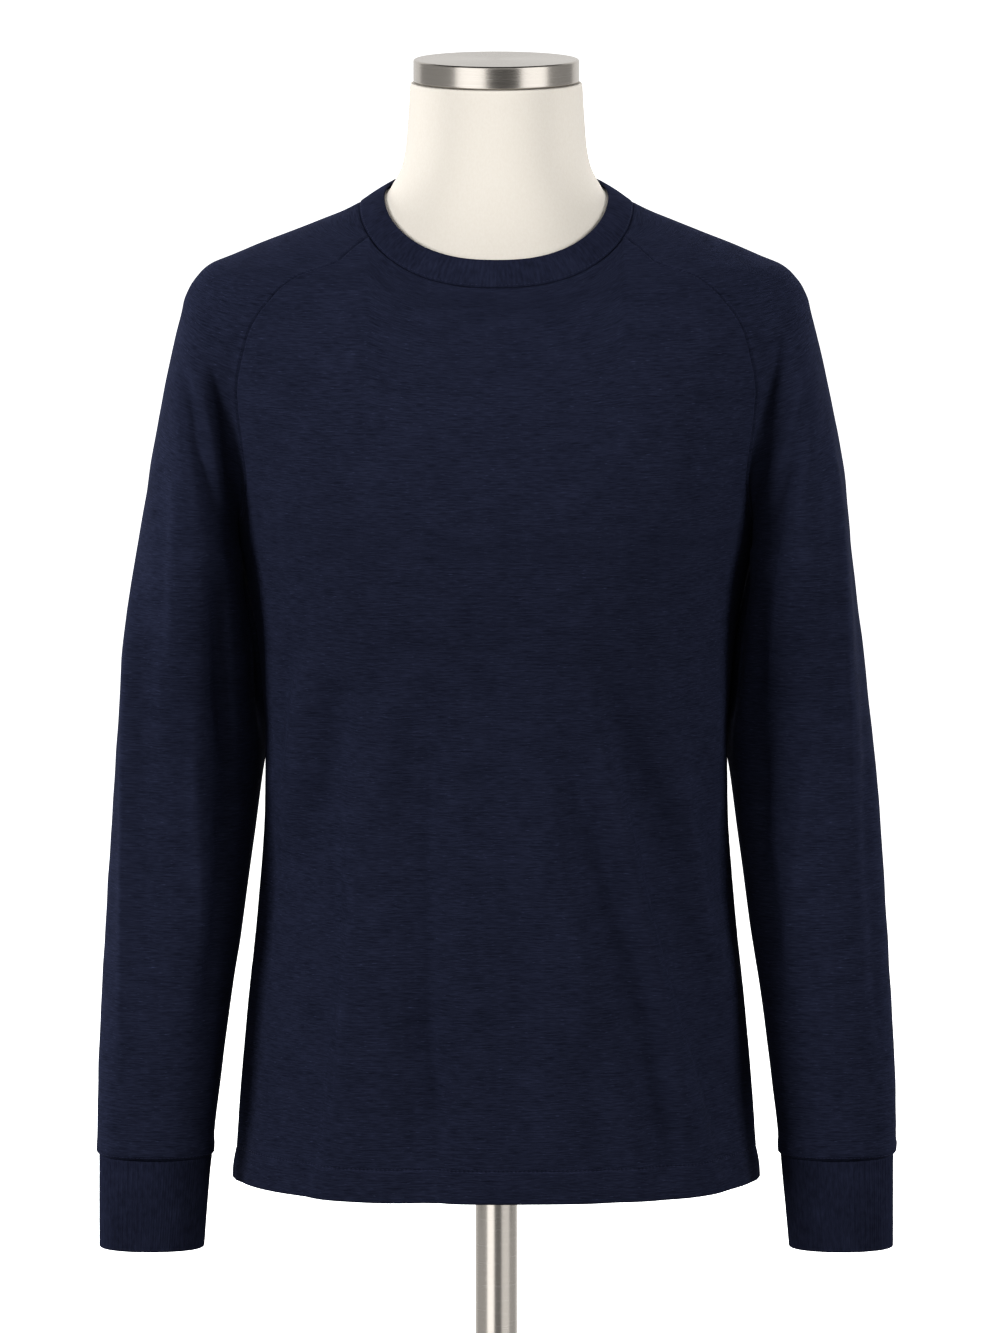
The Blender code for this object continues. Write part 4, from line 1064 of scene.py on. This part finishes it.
def make_cuff(name, finish, seed, mirrored):
    girth = lengths_along(sleeve_section(CUFF, 0, np.linspace(1, -1, 2 * SECTION_STEPS + 1)))[-1]
    share = np.linspace(1, -1, rib_columns(girth) + 1)
    low, high = CUFF_ROWS[0][0], SLEEVE_ROWS[0][0]      # it ends where the sleeve begins
    heights = crowded(np.linspace(low, high, CUFF_LEVELS), [low, high])
    grid = np.array([level_ring(*sleeve_section(CUFF, height, share).T, height) for height in heights])
    from_bottom, from_top = from_ends(grid, 0)
    sunk = uneven(grid, depth=0.5, size=34, seed=seed, stretch=(1, 1, 3)) * smooth_step(from_top / 12)
    relief = (0, sewn_edge(from_top, depth=0.35, welt=0.12))
    return make_band(name, grid, facing_of(grid, len(grid)), finish, ribs=1, sunk=sunk, relief=relief,
                     edge=round_edge(from_bottom, radius=0.9), from_seam=from_top, mirrored=mirrored)[0]


def make_collar(finish):
    girth = lengths_along(oval(COLLAR_SEAM, np.linspace(-90, 270, 4 * 360 + 1)))[-1]
    angle = neck_angles(-90, 270, np.linspace(0, 1, rib_columns(girth) + 1))
    width = COLLAR_EDGE["front_height"] - COLLAR_SEAM["front_height"] + 2
    shares = crowded(np.linspace(0, 1, COLLAR_LEVELS), [0, 1], length=width)
    grid, facing = (np.array(part) for part in zip(*[collar_surface(angle, share) for share in shares]))
    from_bottom, from_top = from_ends(grid, 0)
    relief = (uneven(grid, depth=0.22, size=26, seed=4), sewn_edge(from_bottom, depth=0.5, welt=0.2))
    made, outer = make_band("collar_band", grid, facing, finish, ribs=0.4, sunk=0 * from_top, relief=relief,
                            edge=round_edge(from_top, radius=1.0), from_seam=from_bottom)
    row = nearest(from_bottom[:, 0], STITCH_OFFSET)
    return made, (outer[row], facing[row])


# ---------------------------------------------------------------- the form and its stand
SHARP_ANGLE = math.radians(30)      # faces that meet at more than this show an edge
EDGE_STEPS = 8              # points round a rounded edge
EDGE_HOLD = 0.4             # a point this far beyond each end of the edge keeps the flats flat
END_RADIUS = 2.0            # of the small flat faces at the cap's and the plate's middle


def closed_rings(name, rings, finish):
    """A closed body through rings of equal counts, with a flat face on the first and the last."""
    rings = np.stack(rings)
    rows, count = rings.shape[:2]
    walls = ring_walls(np.arange(rows * count).reshape(rows, count))
    step = np.arange(count // 2 - 1)
    first = np.stack([step, step + 1, count - 2 - step, count - 1 - step], axis=-1)
    last = first + (rows - 1) * count
    faces = np.concatenate([walls, first[:, ::-1], last])
    made = mesh_object(name, placed(rings.reshape(-1, 3)), faces, finish)
    made.data.set_sharp_from_angle(angle=SHARP_ANGLE)
    return made


def rounded(corners, radius=STAND_EDGE):
    """An outline of (radius, height) corners, each but the two ends rounded off."""
    corners = [np.array(corner, float) for corner in corners]
    turn = np.radians(np.linspace(0, 90, EDGE_STEPS))[:, None]
    outline = [corners[0]]
    for before, corner, after in zip(corners, corners[1:], corners[2:]):
        back, on = unit(before - corner), unit(after - corner)
        middle = corner + (back + on) * radius
        arc = middle - on * radius * np.cos(turn) - back * radius * np.sin(turn)
        outline += [corner + back * (radius + EDGE_HOLD), *arc, corner + on * (radius + EDGE_HOLD)]
    return outline + [corners[-1]]


def spun(name, outline, finish):
    """A body turned round the form's axis."""
    turn = np.arange(TURNED_STEPS) * 2 * math.pi / TURNED_STEPS
    rings = [level_ring(radius * np.cos(turn), radius * np.sin(turn), height) for radius, height in outline]
    return closed_rings(name, rings, finish)


def inside_cloth(points):
    """The points of the torso's outer face, moved in to the form."""
    def beyond(points):
        x, y, height = points.T
        depth = np.where(y < 0, TORSO("front", height), TORSO("back", height))
        return ((np.abs(x) / TORSO("half_width", height)) ** TORSO("flatness", height)
                + (np.abs(y) / depth) ** TORSO("roundness", height))

    step = 0.2
    slope = [beyond(points + step * axis) - beyond(points - step * axis) for axis in np.eye(3)]
    return points - unit(np.stack(slope, axis=-1)) * (CLOTH + EASE("ease", points[:, 2]))[:, None]


def torso_turn(x, y, height, side):
    """How far round the torso's section a point lies: 0 in front or behind, a right angle at the side."""
    across = (np.abs(x) / TORSO("half_width", height)) ** (TORSO("flatness", height) / 2)
    along = (np.abs(y) / torso_depth(height, side)) ** (TORSO("roundness", height) / 2)
    return np.arctan2(across, along)


def torso_rings():
    """The form's rings from its foot to the collar's seam."""
    rings = []
    angle = np.linspace(0, 90, FORM_COLUMNS + 1)
    shares = np.linspace(0, 1, FORM_COLUMNS + 1)
    steps = [(level, 0) for level in FORM_LEVELS] + [(FORM_LEVELS[-1], climb) for climb in SHOULDER_CLIMB]
    for level, climb in steps:
        quarters = {}
        for side in (FRONT, BACK):
            seam = oval(COLLAR_SEAM, side * angle)
            below = across_torso(level, 0.0, side, shares)[::-1]
            turn = torso_turn(*below.T, level, side)
            turn = turn + (torso_turn(*seam.T, side) - turn) * climb
            height = level + (seam[:, 2] - level) * climb
            x = TORSO("half_width", height) * np.sin(turn) ** (2 / TORSO("flatness", height))
            y = side * torso_depth(height, side) * np.cos(turn) ** (2 / TORSO("roundness", height))
            quarters[side] = inside_cloth(level_ring(x, y, height))
        back, front = quarters[BACK], quarters[FRONT]
        rings.append(np.concatenate([back[:-1], (back * MIRROR)[:0:-1], (front * MIRROR)[:-1], front[:0:-1]]))
    return rings


def neck_rings():
    """The form's rings from under the collar to the neck's top edge."""
    angle = np.linspace(0, 360, 4 * FORM_COLUMNS + 1)[:-1]
    turn = np.radians(angle)
    under = []
    for share in (0.5, 1.0):
        points, facing = collar_surface(angle, share)
        under.append(points - facing * FORM_INSIDE_COLLAR)
    neck = []
    for height, half_width, front, back in NECK_ROWS:
        depth = np.where(np.sin(turn) < 0, front, back)
        neck.append(level_ring(half_width * np.cos(turn), depth * np.sin(turn), height))
    hollow = []
    for climb in NECK_CLIMB:
        inwards = 1 - (1 - climb) ** NECK_HOLLOW
        hollow.append(under[1] + (neck[0] - under[1]) * (inwards, inwards, climb))
    return under + hollow + neck


def make_form(finish):
    """The torso with its neck, and the pole's socket in its foot."""
    rings = np.stack(torso_rings() + neck_rings())
    levels = np.arange(len(rings), dtype=float)
    fine = np.linspace(0, levels[-1], (len(rings) - 1) * FORM_ROWS + 1)
    rings = np.stack([smooth_through(levels, column, fine) for column in rings.reshape(len(rings), -1).T],
                     axis=1).reshape(len(fine), -1, 3)
    foot = rings[0] * (1, 1, 0) + (0, 0, FORM_BOTTOM)
    foot[:, :2] *= 1 - FORM_EDGE / np.linalg.norm(foot[:, :2], axis=1, keepdims=True)
    turn = np.arctan2(foot[:, 1], foot[:, 0])
    socket = level_ring(SOCKET_RADIUS * np.cos(turn), SOCKET_RADIUS * np.sin(turn), FORM_BOTTOM)
    edge = [rings[-1] * (share, share, 0) + (0, 0, NECK_TOP - below) for below, share in NECK_EDGE]
    return closed_rings("dress_form", [socket + (0, 0, SOCKET_DEPTH), socket, foot, *rings, *edge], finish)


def make_stand(finish):
    """The cap on the neck, the pole and the round plate."""
    floor = -HEM_ABOVE_FLOOR
    plate = floor + BASE_HEIGHT
    socket = plate - BASE_SOCKET
    cap = rounded([(END_RADIUS, CAP_BOTTOM), (CAP_RADIUS, CAP_BOTTOM), (CAP_RADIUS, CAP_TOP),
                   (END_RADIUS, CAP_TOP)])
    pole = [(POLE_RADIUS, socket + POLE_END_GAP), (POLE_RADIUS, POLE_TOP)]
    disc = rounded([(END_RADIUS, floor), (BASE_RADIUS, floor), (BASE_RADIUS, plate), (SOCKET_RADIUS, plate)])
    return {
        "neck_cap": spun("spun_cap", cap, finish),
        "pole": spun("steel_pole", pole, finish),
        "base_plate": spun("round_plate", disc + [(SOCKET_RADIUS, socket)], finish),
    }


# ---------------------------------------------------------------- the stitches at the seams
def seam_stitches(panels, sleeves, collar_line, closed, thread):
    """Twin rows beside the raglan seams, one row at the collar and each cuff, and two at the hem."""
    raglan, hem, cuffs = [], [], []
    hem_row = nearest(PANEL_HEIGHTS, HEM_FOLD)
    cuff_row = nearest(SLEEVE_HEIGHTS, SLEEVE_FOOT + STITCH_OFFSET)
    for _, (outer, facing) in panels.values():
        raglan += beside_edges(outer, facing, len(PANEL_HEIGHTS) + 2)
        hem += [(outer[row], facing[row]) for row in (hem_row - 1, hem_row + 2)]
    for name, (_, (outer, facing)) in sleeves.items():
        lines = beside_edges(outer, facing, closed + 1) + [(outer[cuff_row], facing[cuff_row])]
        if name == "left":
            lines = [(points * MIRROR, out * MIRROR) for points, out in lines]
        raglan += lines[:2]
        cuffs += lines[2:]
    return [stitches("stitches_raglan", raglan, thread), stitches("stitches_hem", hem, thread),
            stitches("stitches_cuffs", cuffs, thread, RIB_STITCH_PITCH),
            stitches("stitches_collar", [collar_line], thread, RIB_STITCH_PITCH)]


# ---------------------------------------------------------------- the studio
LIGHTS_AIM = (0, 0, 0.75)
LIGHTS = [                  # name, place, size and power
    ("key", (-2.62, -1.55, 1.68), (0.8, 1.9), 88),
    ("fill", (2.62, -1.5, 1.68), (0.8, 1.9), 63),
    ("front", (-0.3, -3.0, 1.7), (0.8, 0.8), 19),
    ("top", (0, 1.7, 2.6), (1.6, 0.8), 56),
    ("rim_left", (-2.3, 1.4, 0.45), (0.5, 0.8), 46),
    ("rim_right", (2.2, 1.5, 0.45), (0.5, 0.8), 28),
]
NECK_BEAM = dict(place=(0.6, -2.95, 1.3), aim=(0.004, 0, 1.055), power=92, spot_size=math.radians(4.6),
                 spot_blend=1.0, shadow_soft_size=0.05)
WORLD_STRENGTH = 0.06


def add_light(name, kind, place, aim, power, **settings):
    light = bpy.data.lights.new(name, kind)
    for setting, value in settings.items():
        setattr(light, setting, value)
    light.energy = power
    holder = bpy.data.objects.new(name, light)
    holder.location = place
    holder.rotation_euler = (Vector(aim) - Vector(place)).to_track_quat("-Z", "Y").to_euler()
    holder.visible_glossy = False
    bpy.context.scene.collection.objects.link(holder)


# What the steel mirrors, as strips of a wide ring round the form: (from, to, bottom, top, brightness).
# The angles are in degrees from the front, to the right, and the levels are metres above the floor.
REFLECTOR_RADIUS = 4.0
REFLECTOR_COLUMNS = 13
REFLECTORS = [(-130, -58, 0.1, 4.0, 0.33), (-58, -14, 0.1, 4.0, 1.55), (-14, 34, 0.1, 1.2, 0.04),
              (-14, 34, 1.2, 4.0, 0.5), (34, 75, 0.1, 4.0, 1.55), (75, 132, 0.1, 4.0, 0.33),
              (132, 230, -3.0, 4.0, 0.76), (-130, -51, -3.0, 0.1, 0.5), (-51, -11, -3.0, 0.1, 1.6),
              (-11, 28, -3.0, 0.1, 0.26), (28, 76, -3.0, 0.1, 0.85), (76, 132, -3.0, 0.1, 0.5)]


def glowing(name, brightness):
    made = Nodes(name)
    made.surface(Base_Color=(0, 0, 0, 1), Specular_IOR_Level=0.0, Emission_Color=(1, 0.985, 0.968, 1),
                 Emission_Strength=brightness)
    return made.material


def reflectors():
    """Cards that only mirrorlike surfaces see."""
    for number, (start, end, bottom, top, brightness) in enumerate(REFLECTORS):
        turn = np.radians(np.linspace(start, end, REFLECTOR_COLUMNS))
        ring = np.stack([np.sin(turn), -np.cos(turn)], axis=1) * REFLECTOR_RADIUS
        low, high = (np.column_stack([ring, np.full(len(ring), level)]) for level in (bottom, top))
        corner = np.arange(len(ring))
        faces = np.stack([corner[:-1], corner[1:], corner[1:] + len(ring), corner[:-1] + len(ring)], axis=1)
        name = f"reflector_{number}"
        card = mesh_object(name, np.concatenate([low, high]), faces, glowing(name, brightness))
        card.visible_camera = card.visible_diffuse = card.visible_shadow = False
        card.visible_transmission = card.visible_volume_scatter = False


FLOOR_LEVEL = -0.0005       # a hair under the plate, so that the two faces don't coincide
FLOOR_REACH = 40.0


def studio():
    """A white studio, in metres above the floor."""
    world = bpy.data.worlds.new("white studio")
    world.use_nodes = True
    background = world.node_tree.nodes["Background"]
    background.inputs["Color"].default_value = (1, 1, 1, 1)
    background.inputs["Strength"].default_value = WORLD_STRENGTH
    scene = bpy.context.scene
    scene.world = world
    scene.view_settings.view_transform = "Standard"
    scene.view_settings.look = "Medium High Contrast"
    for name, place, (width, height), power in LIGHTS:
        add_light(name, "AREA", place, LIGHTS_AIM, power, shape="RECTANGLE", size=width, size_y=height)
    add_light("neck", "SPOT", **NECK_BEAM)
    corners = np.array([(-1, -1, 0), (1, -1, 0), (1, 1, 0), (-1, 1, 0)]) * FLOOR_REACH + (0, 0, FLOOR_LEVEL)
    floor = mesh_object("floor", corners, np.array([[0, 1, 2, 3]]), backdrop())
    floor.visible_diffuse = floor.visible_glossy = False
    reflectors()


CAMERA_DISTANCE = 9.0
CAMERA_ELEVATION = 8.1
CAMERA_AIM = (0.0025, 0.0, 0.6868)
VIEW_HEIGHT = 0.9033        # how much the picture takes in from top to bottom at the aim


def make_camera():
    data = bpy.data.cameras.new("camera")
    data.lens = data.sensor_width * CAMERA_DISTANCE / VIEW_HEIGHT
    data.clip_end = 200
    camera = bpy.data.objects.new("camera", data)
    tilt = math.radians(CAMERA_ELEVATION)
    back = Vector((0, -math.cos(tilt), math.sin(tilt)))
    camera.location = Vector(CAMERA_AIM) + back * CAMERA_DISTANCE
    camera.rotation_euler = (-back).to_track_quat("-Z", "Y").to_euler()
    bpy.context.scene.collection.objects.link(camera)
    bpy.context.scene.camera = camera


# ---------------------------------------------------------------- the whole
SLEEVE_FOLDS = {"right": RIGHT_SLEEVE_FOLDS, "left": LEFT_SLEEVE_FOLDS}
ARMS = {"right": dict(seed=1, mirrored=False), "left": dict(seed=2, mirrored=True)}


def dress(piece, node):
    """Puts a piece of cloth in place of its solid."""
    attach(piece, "root")
    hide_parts(node)


def build():
    jersey, rib, thread = navy_jersey(), navy_rib(), navy_thread()
    shapes, closed = base_shapes()
    panels = {"front": make_panel("front_panel", FRONT, *shapes[FRONT], FRONT_FOLDS, jersey),
              "back": make_panel("back_panel", BACK, *shapes[BACK], BACK_FOLDS, jersey)}
    sleeves = {side: make_sleeve("sleeve_cloth_" + side, *shapes["sleeve"], closed, SLEEVE_FOLDS[side],
                                 jersey, **arm) for side, arm in ARMS.items()}
    collar, collar_line = make_collar(rib)
    cuffs = {side: make_cuff("cuff_band_" + side, rib, **arm) for side, arm in ARMS.items()}
    for name, (panel, _) in panels.items():
        dress(panel, name)
    for name, (sleeve, _) in sleeves.items():
        dress(sleeve, "sleeve_" + name)
        dress(cuffs[name], "cuff_" + name)
    dress(collar, "collar")
    for row in seam_stitches(panels, sleeves, collar_line, closed, thread):
        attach(row, "root")
    stand = make_stand(brushed_steel())
    stand["form_torso"] = make_form(form_cover())
    for node, piece in stand.items():
        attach(piece, "root")
        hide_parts(node)
    studio()
    make_camera()


build()
